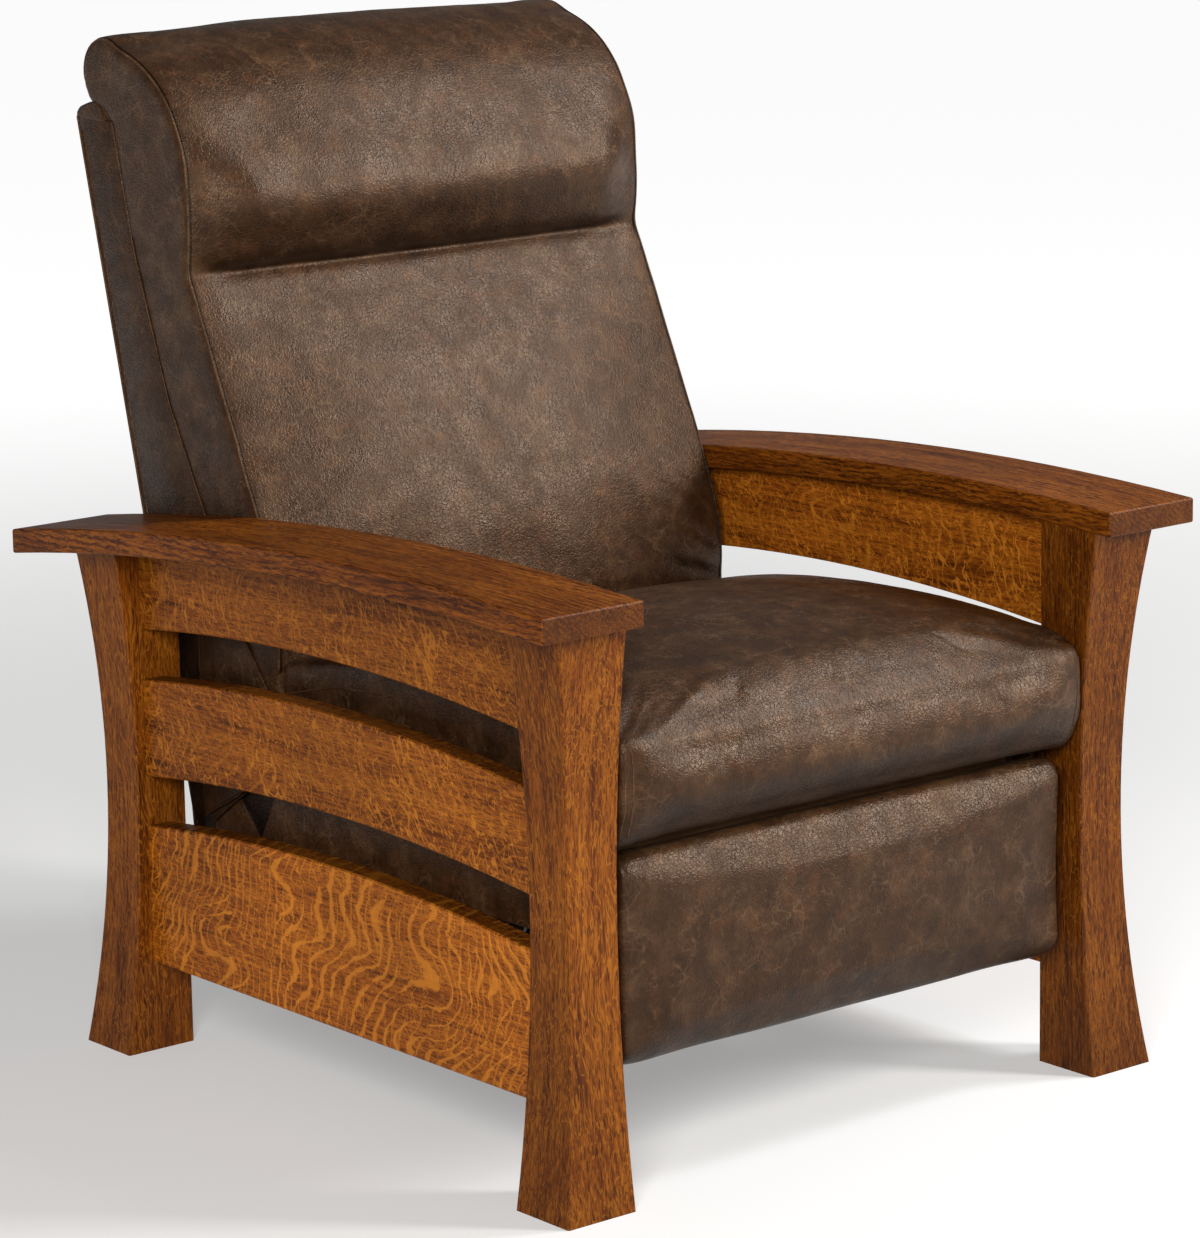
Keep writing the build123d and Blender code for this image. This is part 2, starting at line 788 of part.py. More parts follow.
def make_footrest_links():
    hole = stud_radius + stud_fit
    lift = bar(lift_pivot, elbow, link_width) - disc(lift_pivot, hole)
    lift = slab(lift, lift_layer, lift_layer + plate_thickness)
    lift += headed_stud(elbow, lift_layer + plate_thickness, reach_layer, True)
    both_sides("lift_link", lift)

    reach = bar(elbow, footrest_pivot, link_width) - disc(elbow, hole) - disc(footrest_pivot, hole)
    both_sides("reach_link", slab(reach, reach_layer, reach_layer + plate_thickness))

    control = bar(control_pivot, control_end, link_width * 0.8) - disc(control_pivot, hole)
    control = slab(control, lift_layer, lift_layer + plate_thickness)
    control += cylinder(control_end, stud_radius, lift_layer - plate_gap + spring_fit * 2, lift_layer)
    both_sides("control_link", control)

    centre = polar(lift_pivot, lift_angle, lift_length * torque_tube_share)
    tube = cylinder(centre, torque_tube_radius, -lift_layer, lift_layer)
    nodes["torque_tube"] = tube - cylinder(centre, torque_tube_radius - tube_wall, -lift_layer, lift_layer)


# Back: side views as shares of the back's depth and rise

rear_line_shares = ((0.075, 0.136), (0.09, 0.198), (0.25, 0.283), (0.395, 0.411),
                    (0.565, 0.546), (0.71, 0.715))
roll_under_shares = ((0.742, 0.76), (0.785, 0.834), (0.825, 0.902), (0.93, 0.9235))
side_foot_shares = ((0.245, 0.053), (0.172, 0.111))
head_seam_share = 0.415
lumbar_front_shares = ((0.262, 0.58), (0.07, 0.40), (0.008, 0.31), (0.0, 0.27))
lumbar_tuck_shares = ((0.014, 0.252), (0.025, 0.136))
roll_top_shares = ((0.965, 0.965), (0.766, 1.0))
roll_front_shares = ((0.543, 0.951), (0.412, 0.864), (0.404, 0.7956))
back_foot_share = 0.49
back_top_share = 0.9095


def back_point(shares):
    return middle_y + back_front_behind + back_depth * shares[0], back_base + back_rise * shares[1]


def back_line(table, dy, dz):
    """The points of a table of shares, all moved by the same small step."""
    return [nudged(back_point(share), dy, dz) for share in table]


back_top_corner = back_point((1.0, back_top_share))
back_foot_corner = back_point((back_foot_share, 0.0))


def panel_point(height, setback):
    """A point on the slanting rear face of the back, or inside it by a setback."""
    slope = (back_top_corner[0] - back_foot_corner[0]) / (back_top_corner[1] - back_foot_corner[1])
    return back_foot_corner[0] + slope * (height - back_foot_corner[1]) - setback, height


def head_seam(lift):
    """Where the lower cushion and the roll meet at the front, at the height of the frame's bend."""
    front = back_point((head_seam_share, 0.0))[0]
    return front, back_point(rear_line_shares[-1])[1] + lift


def lumbar_section(full, drawn):
    puff = cushion_draw * drawn - back_crown * full
    mid_front, low_front, puff_front, foot_front = back_line(lumbar_front_shares, puff, 0)
    return outline(
        *back_line(rear_line_shares, 0, 0),
        nudged(head_seam(0), puff / 2, 0),
        (mid_front, low_front),
        (puff_front, foot_front),
        *back_line(lumbar_tuck_shares, 0, 0),
    )


def roll_section(full, drawn):
    puff = cushion_draw * drawn - roll_bulge * full
    lift = roll_crown * full - cushion_draw * drawn / 2
    start = nudged(back_point(rear_line_shares[-1]), 0, seam_fit)
    rear, top = [back_point(share) for share in roll_top_shares]
    brow, upper, face = [back_point(share) for share in roll_front_shares]
    front = nudged(head_seam(seam_fit), puff / 2, 0)
    return outline(
        front,
        start,
        *back_line(roll_under_shares, 0, 0),
        (nudged(rear, 0, lift / 2), nudged(top, 0, lift)),
        (nudged(brow, puff / 2, lift / 2), nudged(upper, puff, 0)),
        (nudged(face, puff, 0), front),
    )


def make_back_cushions():
    nodes["back_cushion"] = crowned(back_width, lumbar_section)
    nodes["head_roll"] = crowned(back_width, roll_section)


def frame_face(shift, setback):
    """Side view of what lies between the cushions' rear line and the rear panel."""
    high = back_point(roll_under_shares[2])[1] - shift
    return outline(
        panel_point(back_base, setback),
        *back_line(side_foot_shares, shift, 0),
        *back_line(rear_line_shares[1:], shift, 0),
        *back_line(roll_under_shares[:2], shift, 0),
        nudged(back_point(roll_under_shares[2]), shift, -shift),
        panel_point(high, setback),
    )


def plank(start, end, thickness):
    """A board on edge in the side view: its front face runs from start to end."""
    along = math.degrees(math.atan2(end[1] - start[1], end[0] - start[0]))
    return outline(start, end, polar(end, along - 90, thickness), polar(start, along - 90, thickness))


def spring_line():
    """The line that the front faces of the back's two cross rails lie on, bottom to top."""
    top = nudged(back_point(roll_under_shares[2]), back_spring_room, -back_rail_drop)
    bottom = hinge[0] - lug_radius, hinge_height - back_rail_height / 2
    return bottom, top


def make_back_frame():
    inner_setback = back_panel_thickness + back_fit
    x1 = lift_layer
    x0 = x1 - post_thickness
    clear = post_notch_fit
    notch = rectangle(seat_front, back_base - clear, seat_rear + clear, seat_frame_height + clear)
    both_sides("back_post", slab(frame_face(back_fit, inner_setback) - notch, x0, x1))

    bottom, top = spring_line()
    rise = math.degrees(math.atan2(top[1] - bottom[1], top[0] - bottom[0]))
    top_rail = plank(polar(top, rise, -back_rail_height), top, back_top_rail_depth)
    foot, head = polar(bottom, rise, -back_bottom_rail_drop), polar(bottom, rise, back_rail_height)
    bottom_rail = plank(foot, head, back_bottom_rail_depth)
    nodes["back_top_rail"] = slab(top_rail, -x0, x0)
    nodes["back_bottom_rail"] = slab(bottom_rail, -x0, x0)

    plate = bar(hinge, polar(hinge, hinge_plate_angle, hinge_plate_length), hinge_plate_width)
    plate = slab(plate, lift_layer, lift_layer + plate_thickness)
    plate += headed_stud(hinge, lift_layer, seat_layer + plate_thickness, False)
    both_sides("back_hinge_plate", plate)


def make_back_springs():
    """Sinuous springs up the back, lying on the front faces of its two cross rails."""
    bottom, top = spring_line()
    rise = math.degrees(math.atan2(top[1] - bottom[1], top[0] - bottom[0]))
    start = polar(bottom, rise, back_rail_height - back_spring_overlap)
    start = polar(start, rise + 90, wire_radius + spring_fit)
    length = math.dist(bottom, top) - 2 * (back_rail_height - back_spring_overlap)
    clear = 2 * (lift_layer - post_thickness)
    row = spring_row(back_spring_count, back_spring_turns, length, clear, "back springs")
    place = Pos(0, start[0], start[1]) * Rot(rise, 0, 0)
    nodes["back_springs"] = Compound([s for w in row for s in (place * w).solids()])


def make_back_covers():
    x1 = back_width / 2
    x0 = x1 - back_side_thickness
    rear_panel = outline(
        panel_point(back_base, 0),
        back_top_corner,
        panel_point(back_top_corner[1], back_panel_thickness),
        panel_point(back_base, back_panel_thickness),
    )
    nodes["back_panel"] = slab(rear_panel, -x1, x1)
    setback = back_panel_thickness + back_fit / 2
    both_sides("back_side_panel", slab(frame_face(back_fit, setback), x0, x1))


make_side_frames()
make_base()
make_swing_links()
make_seat_frame()
make_seat_springs()
make_seat_cushion()
make_footrest()
make_footrest_links()
make_back_cushions()
make_back_frame()
make_back_springs()
make_back_covers()

os.makedirs("parts", exist_ok=True)
for name, solid in nodes.items():
    export_step(solid, f"parts/{name}.step")
print(len(nodes), "nodes")
pivots = {
    "front swing foot": front_swing_foot,
    "front swing head": front_swing_head,
    "rear swing foot": rear_swing_foot,
    "lift pivot": lift_pivot,
    "elbow": elbow,
    "footrest pivot": footrest_pivot,
    "control pivot": control_pivot,
    "hinge": hinge,
}
for label, point in pivots.items():
    print(label, round(point[0], 3), round(point[1], 3))
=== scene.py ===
import json
import math

import bmesh
import bpy
import numpy as np
from mathutils import Matrix, Vector
from mathutils.bvhtree import BVHTree


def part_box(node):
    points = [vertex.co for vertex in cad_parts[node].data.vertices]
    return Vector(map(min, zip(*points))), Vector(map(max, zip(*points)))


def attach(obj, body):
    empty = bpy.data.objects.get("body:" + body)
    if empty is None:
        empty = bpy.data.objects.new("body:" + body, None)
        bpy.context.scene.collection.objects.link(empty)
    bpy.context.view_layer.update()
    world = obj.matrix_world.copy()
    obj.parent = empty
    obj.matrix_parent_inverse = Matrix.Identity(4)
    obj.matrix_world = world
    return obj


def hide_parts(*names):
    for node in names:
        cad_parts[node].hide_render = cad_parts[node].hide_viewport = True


# Mission armchair with a reclining back and a footrest: the looks of the wood, the leather and the steel.
# Metres, in the frame of the chair: +Z is up and the chair faces -Y.

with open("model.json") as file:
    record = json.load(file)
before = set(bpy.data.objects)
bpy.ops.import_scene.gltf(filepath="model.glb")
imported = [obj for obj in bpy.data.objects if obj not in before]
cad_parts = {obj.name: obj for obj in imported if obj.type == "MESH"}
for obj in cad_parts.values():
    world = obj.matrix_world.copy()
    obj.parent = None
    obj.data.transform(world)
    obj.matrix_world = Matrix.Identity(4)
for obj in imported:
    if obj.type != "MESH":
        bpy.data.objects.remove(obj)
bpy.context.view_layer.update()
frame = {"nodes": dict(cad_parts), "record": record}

MM = 0.001
SIDES = (("right", -1), ("left", 1))

# Where things are, read from the chair itself
leg_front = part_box("leg_front_left")
leg_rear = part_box("leg_rear_left")
seat_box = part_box("seat_cushion")
lumbar_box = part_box("back_cushion")
roll_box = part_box("head_roll")
rest_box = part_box("footrest_pad")
middle_y = (leg_front[1][1] + leg_rear[0][1]) / 2
back_half = lumbar_box[1][0]
seat_half = seat_box[1][0]
rest_half = rest_box[1][0]
head_seam_z = lumbar_box[1][2]


# Material graphs

class Graph:
    """Adds shader nodes in short calls. An input is a number, a colour or another node's output."""

    def __init__(self, name):
        self.material = bpy.data.materials.new(name)
        self.material.use_nodes = True
        self.tree = self.material.node_tree
        self.tree.nodes.clear()
        coordinates = self.add("ShaderNodeTexCoord")
        self.place, self.normal = coordinates.outputs["Object"], coordinates.outputs["Normal"]

    def add(self, kind, inputs=(), **settings):
        node = self.tree.nodes.new(kind)
        for key, value in settings.items():
            setattr(node, key, value)
        for key, value in dict(inputs).items():
            if isinstance(value, bpy.types.NodeSocket):
                self.tree.links.new(value, node.inputs[key])
            else:
                node.inputs[key].default_value = value
        return node

    def shifted(self, vector, move, scale=(1, 1, 1), turn=(0, 0, 0)):
        inputs = {"Vector": vector, "Location": move, "Scale": scale, "Rotation": turn}
        return self.add("ShaderNodeMapping", inputs).outputs[0]

    def warped(self, vector, amount, scale):
        """The vector pushed about by smooth noise."""
        pushed = self.add("ShaderNodeTexNoise", {"Vector": vector, "Scale": scale, "Detail": 2.0})
        centred = self.add("ShaderNodeVectorMath", {0: pushed.outputs["Color"], 1: (0.5, 0.5, 0.5)},
                           operation="SUBTRACT")
        inputs = {0: centred.outputs[0], "Scale": amount}
        step = self.add("ShaderNodeVectorMath", inputs, operation="SCALE")
        inputs = {0: vector, 1: step.outputs[0]}
        return self.add("ShaderNodeVectorMath", inputs, operation="ADD").outputs[0]

    def noise(self, vector, scale, detail=2.0, rough=0.5):
        inputs = {"Vector": vector, "Scale": scale, "Detail": detail, "Roughness": rough}
        return self.add("ShaderNodeTexNoise", inputs).outputs[0]

    def cells(self, vector, scale, feature="DISTANCE_TO_EDGE", randomness=1.0):
        inputs = {"Vector": vector, "Scale": scale, "Randomness": randomness}
        return self.add("ShaderNodeTexVoronoi", inputs, feature=feature).outputs["Distance"]

    def stretched(self, vector, move, waves, detail=2.0, rough=0.5):
        """Noise with its own number of waves per metre along X, Y and Z."""
        return self.noise(self.shifted(vector, move, waves), 1.0, detail, rough)

    def along(self, vector, direction):
        inputs = {0: vector, 1: direction}
        return self.add("ShaderNodeVectorMath", inputs, operation="DOT_PRODUCT").outputs["Value"]

    def upward(self):
        """The height of the unit normal: 1 on top, 0 on the sides and -1 underneath."""
        return self.add("ShaderNodeSeparateXYZ", {0: self.normal}).outputs[2]

    def math(self, operation, a, b=0.0, clamp=False):
        return self.add("ShaderNodeMath", {0: a, 1: b}, operation=operation, use_clamp=clamp).outputs[0]

    def ramp(self, value, *stops):
        """A colour ramp through (position, grey or colour) stops."""
        node = self.add("ShaderNodeValToRGB", {"Fac": value})
        elements = node.color_ramp.elements
        while len(elements) < len(stops):
            elements.new(0.5)
        for element, (position, colour) in zip(elements, stops):
            element.position = position
            grey = not isinstance(colour, tuple)
            element.color = (colour, colour, colour, 1.0) if grey else (*colour, 1.0)
        return node.outputs["Color"]

    def times(self, a, b):
        return self.math("MULTIPLY", a, b)

    def mix(self, factor, a, b, blend="MIX"):
        node = self.add("ShaderNodeMix", data_type="RGBA", blend_type=blend)
        for index, value in ((0, factor), (6, a), (7, b)):
            if isinstance(value, bpy.types.NodeSocket):
                self.tree.links.new(value, node.inputs[index])
            elif isinstance(value, tuple):
                node.inputs[index].default_value = (*value, 1.0)
            else:
                node.inputs[index].default_value = value
        return node.outputs[2]

    def bump(self, height, depth, strength=1.0, under=None):
        inputs = {"Height": height, "Distance": depth, "Strength": strength}
        if under is not None:
            inputs["Normal"] = under
        return self.add("ShaderNodeBump", inputs).outputs[0]

    def shader(self, inputs):
        principled = self.add("ShaderNodeBsdfPrincipled", inputs)
        self.add("ShaderNodeOutputMaterial", {"Surface": principled.outputs[0]})
        return self.material


# Studio

CAMERA_PLACE = (-3026.3 * MM, -3730.2 * MM, 1497.9 * MM)
CAMERA_BACK = (-0.6186, -0.7571, 0.2101)
CAMERA_RIGHT = (0.7721, -0.6353, -0.0164)
CAMERA_UP = (0.1459, 0.1521, 0.9776)
CAMERA_LENS = 135.84
SENSOR = 36.0
WARM = (1.0, 0.97, 0.93)
COOL = (0.96, 0.98, 1.0)
CHAIR_MIDDLE = (0.0, 0.0, 0.55)
# Soft boxes turned to the chair: name, place, size, power in watts, colour
LAMPS = (
    ("key", (-2.7, -2.7, 1.9), (1.1, 1.1), 142.0, WARM),
    ("tall_box", (2.4, -2.8, 2.1), (0.6, 1.5), 150.0, WARM),
    ("top", (1.8, -1.0, 2.7), (0.5, 1.0), 54.0, COOL),
)
WORLD_LIGHT = 0.20
FLOOR_REACH = 14.0
FLOOR_GREY = (0.48, 0.48, 0.48)
FLOOR_ROUGHNESS = 0.8
FLOOR_SPECULAR = 0.1
# The floor's own light near the chair and far from it, and how far from its middle each begins
FLOOR_GLOW = (0.32, 0.86)
GLOW_REACH = (1.2, 5.0)
WHITE = (1.0, 1.0, 1.0, 1.0)


def make_camera():
    data = bpy.data.cameras.new("camera")
    data.lens = CAMERA_LENS
    data.sensor_width = SENSOR
    camera = bpy.data.objects.new("camera", data)
    bpy.context.scene.collection.objects.link(camera)
    axes = Matrix((CAMERA_RIGHT, CAMERA_UP, CAMERA_BACK)).transposed()
    camera.matrix_world = Matrix.Translation(CAMERA_PLACE) @ axes.to_4x4()
    bpy.context.scene.camera = camera


def area_light(name, place, size, power, colour):
    data = bpy.data.lights.new(name, "AREA")
    data.shape = "RECTANGLE"
    data.size, data.size_y = size
    data.energy = power
    data.color = colour
    light = bpy.data.objects.new(name, data)
    bpy.context.scene.collection.objects.link(light)
    light.location = place
    light.rotation_mode = "QUATERNION"
    light.rotation_quaternion = (Vector(CHAIR_MIDDLE) - Vector(place)).to_track_quat("-Z", "Y")


def pale_floor():
    """A white sweep, lit a little more from below the further it is from the chair."""
    g = Graph("pale_floor")
    far = g.add("ShaderNodeVectorMath", {0: g.place}, operation="LENGTH").outputs["Value"]
    inputs = {0: far, 1: GLOW_REACH[0], 2: GLOW_REACH[1], 3: FLOOR_GLOW[0], 4: FLOOR_GLOW[1]}
    glow = g.add("ShaderNodeMapRange", inputs, interpolation_type="SMOOTHSTEP")
    return g.shader({
        "Base Color": (*FLOOR_GREY, 1.0),
        "Roughness": FLOOR_ROUGHNESS,
        "Specular IOR Level": FLOOR_SPECULAR,
        "Emission Color": WHITE,
        "Emission Strength": glow.outputs[0],
    })


def make_floor():
    mesh = bpy.data.meshes.new("floor")
    corners = [(x * FLOOR_REACH, y * FLOOR_REACH, 0) for x, y in ((-1, -1), (1, -1), (1, 1), (-1, 1))]
    mesh.from_pydata(corners, [], [(0, 1, 2, 3)])
    floor = bpy.data.objects.new("floor", mesh)
    bpy.context.scene.collection.objects.link(floor)
    mesh.materials.append(pale_floor())


def make_studio():
    world = bpy.data.worlds.new("studio")
    world.use_nodes = True
    background = world.node_tree.nodes["Background"]
    background.inputs["Color"].default_value = WHITE
    background.inputs["Strength"].default_value = WORLD_LIGHT
    bpy.context.scene.world = world
    bpy.context.scene.view_settings.view_transform = "Standard"
    for lamp in LAMPS:
        area_light(*lamp)
    make_floor()


OAK_DARK = (0.0520, 0.0118, 0.0015)
OAK_BODY = (0.1600, 0.0405, 0.0030)
OAK_LIGHT = (0.2350, 0.0700, 0.0055)
OAK_FLECK = (0.3300, 0.1130, 0.0100)
OAK_PORE = (0.0200, 0.0040, 0.0008)
OAK_END = (0.0300, 0.0105, 0.0034)
GRAIN_AXES = {"X": (1.0, 0.0, 0.0), "Y": (0.0, 1.0, 0.0), "Z": (0.0, 0.0, 1.0)}
GRAIN_TURNS = {"Y": (0.0, 0.0, 0.0), "Z": (math.pi / 2, 0.0, 0.0), "X": (0.0, 0.0, math.pi / 2)}
OAK_STOPS = ((0.36, OAK_DARK), (0.48, OAK_BODY), (0.61, OAK_LIGHT))
OAK_GLOSS = {"Specular IOR Level": 0.05, "Coat Weight": 0.10, "Coat Roughness": 0.28}
OAK_ROUGHNESS = ((0.3, 0.50), (0.7, 0.38))
OAK_GRAIN_DEPTH = 0.10 * MM
EDGE_ROUND = 1.4 * MM
# Painted shade on the rails' top edges, as a share of their colour
RAIL_TOP_PAINTED_SHADE = 0.42
BOARD_STEP = (1.7, 0.9, 2.3)

# Waves per metre across, along and up a board whose grain runs along Y
STREAK_WAVES = (300.0, 14.0, 300.0)
BAND_WAVES = (42.0, 2.4, 42.0)
FLOW_WAVES = (6.5, 3.2, 6.5)
WOBBLE_WAVES = (130.0, 60.0, 130.0)
LINE_WAVES = (105.0, 4.0, 140.0)
BREAK_WAVES = (60.0, 14.0, 60.0)
PORE_WAVES = (760.0, 80.0, 760.0)
SWIRL_WAVES = (9.0, 6.0, 11.0)

# How each kind of board was cut. Rays: strength, turn, waves per metre, width, how far they wander.
# Ribbons: strength, waves per metre, sway, width. Lines: strength, sway. Pores: strength.
CUTS = {
    "figured": {
        "rays": ((0.50, (0.85, 0.0, 0.30), (62.0, 170.0, 50.0), 0.034, 0.0030),),
        "ribbons": ((0.66, (0.0, 44.0, 20.0), 9.0, 0.22), (0.42, (0.0, 74.0, 12.0), 7.0, 0.16)),
        "lines": (0.30, 15.0),
        "pores": 0.66,
    },
    "quartered": {
        "rays": (
            (0.60, (0.85, 0.0, 0.30), (62.0, 170.0, 50.0), 0.036, 0.0030),
            (0.75, (0.42, 0.0, 0.25), (34.0, 88.0, 30.0), 0.032, 0.0050),
        ),
        "ribbons": ((0.30, (0.0, 52.0, 16.0), 9.0, 0.16),),
        "lines": (0.30, 15.0),
        "pores": 0.62,
    },
    "rift": {
        "rays": ((0.50, (0.13, 0.0, 0.10), (230.0, 32.0, 230.0), 0.050, 0.0008),),
        "ribbons": (),
        "lines": (0.50, 4.0),
        "pores": 0.62,
    },
    "plain": {
        "rays": ((0.25, (0.06, 0.0, 0.06), (190.0, 16.0, 190.0), 0.040, 0.0008),),
        "ribbons": (),
        "lines": (1.0, 8.0),
        "pores": 0.66,
    },
}


def oak_lines(g, board, wobble, cut, colour):
    """Dark lines that run with the grain, swing round in slow curves and break off."""
    strength, sway = CUTS[cut]["lines"]
    flow = g.stretched(board, (1, 2, 3), FLOW_WAVES, 1.0)
    phase = g.math("ADD", g.along(board, LINE_WAVES), g.times(flow, sway))
    phase = g.math("ADD", phase, g.times(wobble, 1.6))
    line = g.ramp(g.math("PINGPONG", phase, 0.5), (0.04, 1.0), (0.26, 0.0))
    broken = g.ramp(g.stretched(board, (8, 2, 6), BREAK_WAVES, 3.0), (0.34, 0.0), (0.56, 1.0))
    return g.mix(g.times(g.times(line, broken), strength), colour, OAK_DARK)


def oak_rays(g, board, cut, colour):
    """Golden rays that lie over the pores, broad in some places and thin in others."""
    for strength, turn, waves, width, wander in CUTS[cut]["rays"]:
        slanted = g.shifted(g.warped(g.warped(board, 0.05, 7.0), wander, 70.0), (5, 2, 1), turn=turn)
        veil = g.stretched(slanted, (0, 0, 0), waves, 1.0)
        patches = g.noise(g.shifted(board, (strength, 2, 3)), 11.0, 3.0, 0.6)
        share = g.ramp(patches, (0.36, 0.1), (0.62, 1.0))
        ridge = g.math("ABSOLUTE", g.math("SUBTRACT", veil, 0.5))
        thin = g.math("DIVIDE", ridge, g.times(share, width))
        rays = g.ramp(thin, (0.45, 1.0), (1.0, 0.0))
        colour = g.mix(g.times(rays, strength), colour, OAK_FLECK)
    return colour


def oak_ribbons(g, board, wobble, cut, colour):
    """Long golden bands that flow across the grain, side by side, and fade out in places."""
    for strength, waves, sway, width in CUTS[cut]["ribbons"]:
        swirl = g.stretched(board, (strength, 5, 1), SWIRL_WAVES, 1.5)
        phase = g.math("ADD", g.along(board, waves), g.times(swirl, sway))
        phase = g.math("ADD", phase, g.times(wobble, 0.5))
        patches = g.noise(g.shifted(board, (2, strength, 4)), 18.0, 3.0, 0.6)
        share = g.ramp(patches, (0.42, 0.06), (0.60, 1.0))
        thin = g.math("DIVIDE", g.math("PINGPONG", phase, 0.5), g.times(share, width))
        bands = g.ramp(thin, (0.55, 1.0), (1.0, 0.0))
        colour = g.mix(g.times(bands, strength), colour, OAK_FLECK)
    return colour


def oak(name, grain, piece, cut, shade):
    """Stained oak: streaks along an axis, fine dark lines, dashed pores, golden rays and ribbons."""
    g = Graph(name)
    board = g.shifted(g.place, tuple(piece * step for step in BOARD_STEP), turn=GRAIN_TURNS[grain])
    streaks = g.stretched(board, (0, 0, 0), STREAK_WAVES, 4.0, 0.65)
    bands = g.stretched(board, (3, 1, 2), BAND_WAVES, 3.0)
    wobble = g.stretched(board, (4, 4, 1), WOBBLE_WAVES, 3.0, 0.6)
    tone = g.math("ADD", g.times(streaks, 0.6), g.times(bands, 0.4))
    colour = oak_lines(g, board, wobble, cut, g.ramp(tone, *OAK_STOPS))

    # Pores: short dark dashes
    dashes = g.ramp(g.stretched(board, (7, 3, 5), PORE_WAVES, 2.0, 0.6), (0.51, 0.0), (0.60, 1.0))
    colour = g.mix(g.times(dashes, CUTS[cut]["pores"]), colour, OAK_PORE)
    colour = oak_rays(g, board, cut, colour)
    colour = oak_ribbons(g, board, wobble, cut, colour)

    # Clouds of stain, and painted shade on the rails' top edges
    cloud = g.ramp(g.noise(board, 4.0, 2.0), (0.3, 0.80 * shade), (0.7, 1.12 * shade))
    colour = g.mix(1.0, colour, cloud, "MULTIPLY")
    if cut in RAIL_CUTS.values():
        colour = g.mix(1.0, colour, g.ramp(g.upward(), (0.55, 1.0), (0.85, RAIL_TOP_PAINTED_SHADE)), "MULTIPLY")

    # End grain drinks more stain
    facing = g.math("ABSOLUTE", g.along(g.normal, GRAIN_AXES[grain]))
    end = g.ramp(facing, (0.75, 0.0), (0.95, 1.0))
    colour = g.mix(g.times(end, 0.6), colour, OAK_END)

    height = g.math("SUBTRACT", g.times(streaks, 0.5), dashes)
    rounded = g.add("ShaderNodeBevel", {"Radius": EDGE_ROUND}, samples=4).outputs[0]
    return g.shader({
        "Base Color": colour,
        "Roughness": g.ramp(tone, *OAK_ROUGHNESS),
        "Normal": g.bump(height, OAK_GRAIN_DEPTH, 0.6, rounded),
        **OAK_GLOSS,
    })


HIDE_DARK = (0.0165, 0.0066, 0.0025)
HIDE_BODY = (0.0305, 0.0130, 0.0052)
HIDE_WORN = (0.0600, 0.0300, 0.0130)
HIDE_RUST = (0.0760, 0.0240, 0.0068)
HIDE_VEIN = (0.1500, 0.0820, 0.0410)
HIDE_STOPS = ((0.36, HIDE_DARK), (0.51, HIDE_BODY), (0.68, HIDE_WORN))
HIDE_GLOSS = {"Specular IOR Level": 0.26, "Specular Tint": (1.0, 0.76, 0.58, 1.0)}
HIDE_ROUGHNESS = ((0.35, 0.33), (0.65, 0.46))
HIDE_STEP = (1.3, 2.1, 0.7)
# Painted shade: how dark the leather is where it faces down, as a share of its own shade
HIDE_PAINTED_UNDER_SHADE = 0.45
# Waves per metre of each mark in the leather
CLOUD_WAVES = 24.0
SMUDGE_WAVES = 52.0
LONG_VEIN_WAVES = 34.0
SHORT_VEIN_WAVES = 110.0
PEBBLE_WAVES = 480.0
WRINKLE_WAVES = 200.0
COARSE_WAVES = 60.0
GLOSS_WAVES = 34.0


def hide_skin(g, hide, bent):
    """Coarse swells, fine wrinkles and pebbles, each lying on the one before."""
    coarse = g.noise(g.shifted(bent, (4, 4, 4)), COARSE_WAVES, 5.0, 0.62)
    wrinkles = g.ramp(g.cells(g.warped(hide, 0.008, 150.0), WRINKLE_WAVES), (0.0, 0.0), (0.18, 1.0))
    pebbles = g.cells(g.warped(hide, 0.0012, 500.0), PEBBLE_WAVES, "F1")
    skin = None
    for height, depth, strength in (
        (coarse, 0.80 * MM, 0.40), (wrinkles, 0.30 * MM, 0.55), (pebbles, 0.35 * MM, 0.60),
    ):
        skin = g.bump(height, depth, strength, skin)
    return skin


def leather(name, piece, shade=1.0):
    """Distressed brown leather: soft clouds, rust smudges, fine pale veins, painted shade where it faces
    down, and a pebbled, wrinkled skin.
    """
    g = Graph(name)
    hide = g.shifted(g.place, tuple(piece * step for step in HIDE_STEP))
    bent = g.warped(hide, 0.030, 24.0)

    colour = g.ramp(g.noise(bent, CLOUD_WAVES, 8.0, 0.72), *HIDE_STOPS)
    smudges = g.noise(g.shifted(bent, (6, 1, 2)), SMUDGE_WAVES, 7.0, 0.75)
    colour = g.mix(g.times(g.ramp(smudges, (0.52, 0.0), (0.68, 1.0)), 0.45), colour, HIDE_RUST)

    torn = g.warped(g.warped(hide, 0.012, 90.0), 0.05, 12.0)
    long_veins = g.ramp(g.cells(torn, LONG_VEIN_WAVES), (0.0, 1.0), (0.040, 0.0))
    short_veins = g.ramp(g.cells(torn, SHORT_VEIN_WAVES), (0.0, 1.0), (0.110, 0.0))
    veins = g.math("ADD", long_veins, g.times(short_veins, 0.55), True)
    seen = g.ramp(g.noise(g.shifted(hide, (2, 7, 3)), CLOUD_WAVES, 6.0, 0.7), (0.47, 0.0), (0.60, 1.0))
    colour = g.mix(g.times(g.times(veins, seen), 0.36), colour, HIDE_VEIN)

    # Painted shade: darker where the skin faces down than where it faces up
    height = g.times(g.math("ADD", g.upward(), 1.0), 0.5)
    painted_under_shade = g.ramp(height, (0.22, HIDE_PAINTED_UNDER_SHADE * shade), (0.52, shade))
    colour = g.mix(1.0, colour, painted_under_shade, "MULTIPLY")
    return g.shader({
        "Base Color": colour,
        "Roughness": g.ramp(g.noise(bent, GLOSS_WAVES, 4.0), *HIDE_ROUGHNESS),
        "Normal": hide_skin(g, hide, bent),
        **HIDE_GLOSS,
    })


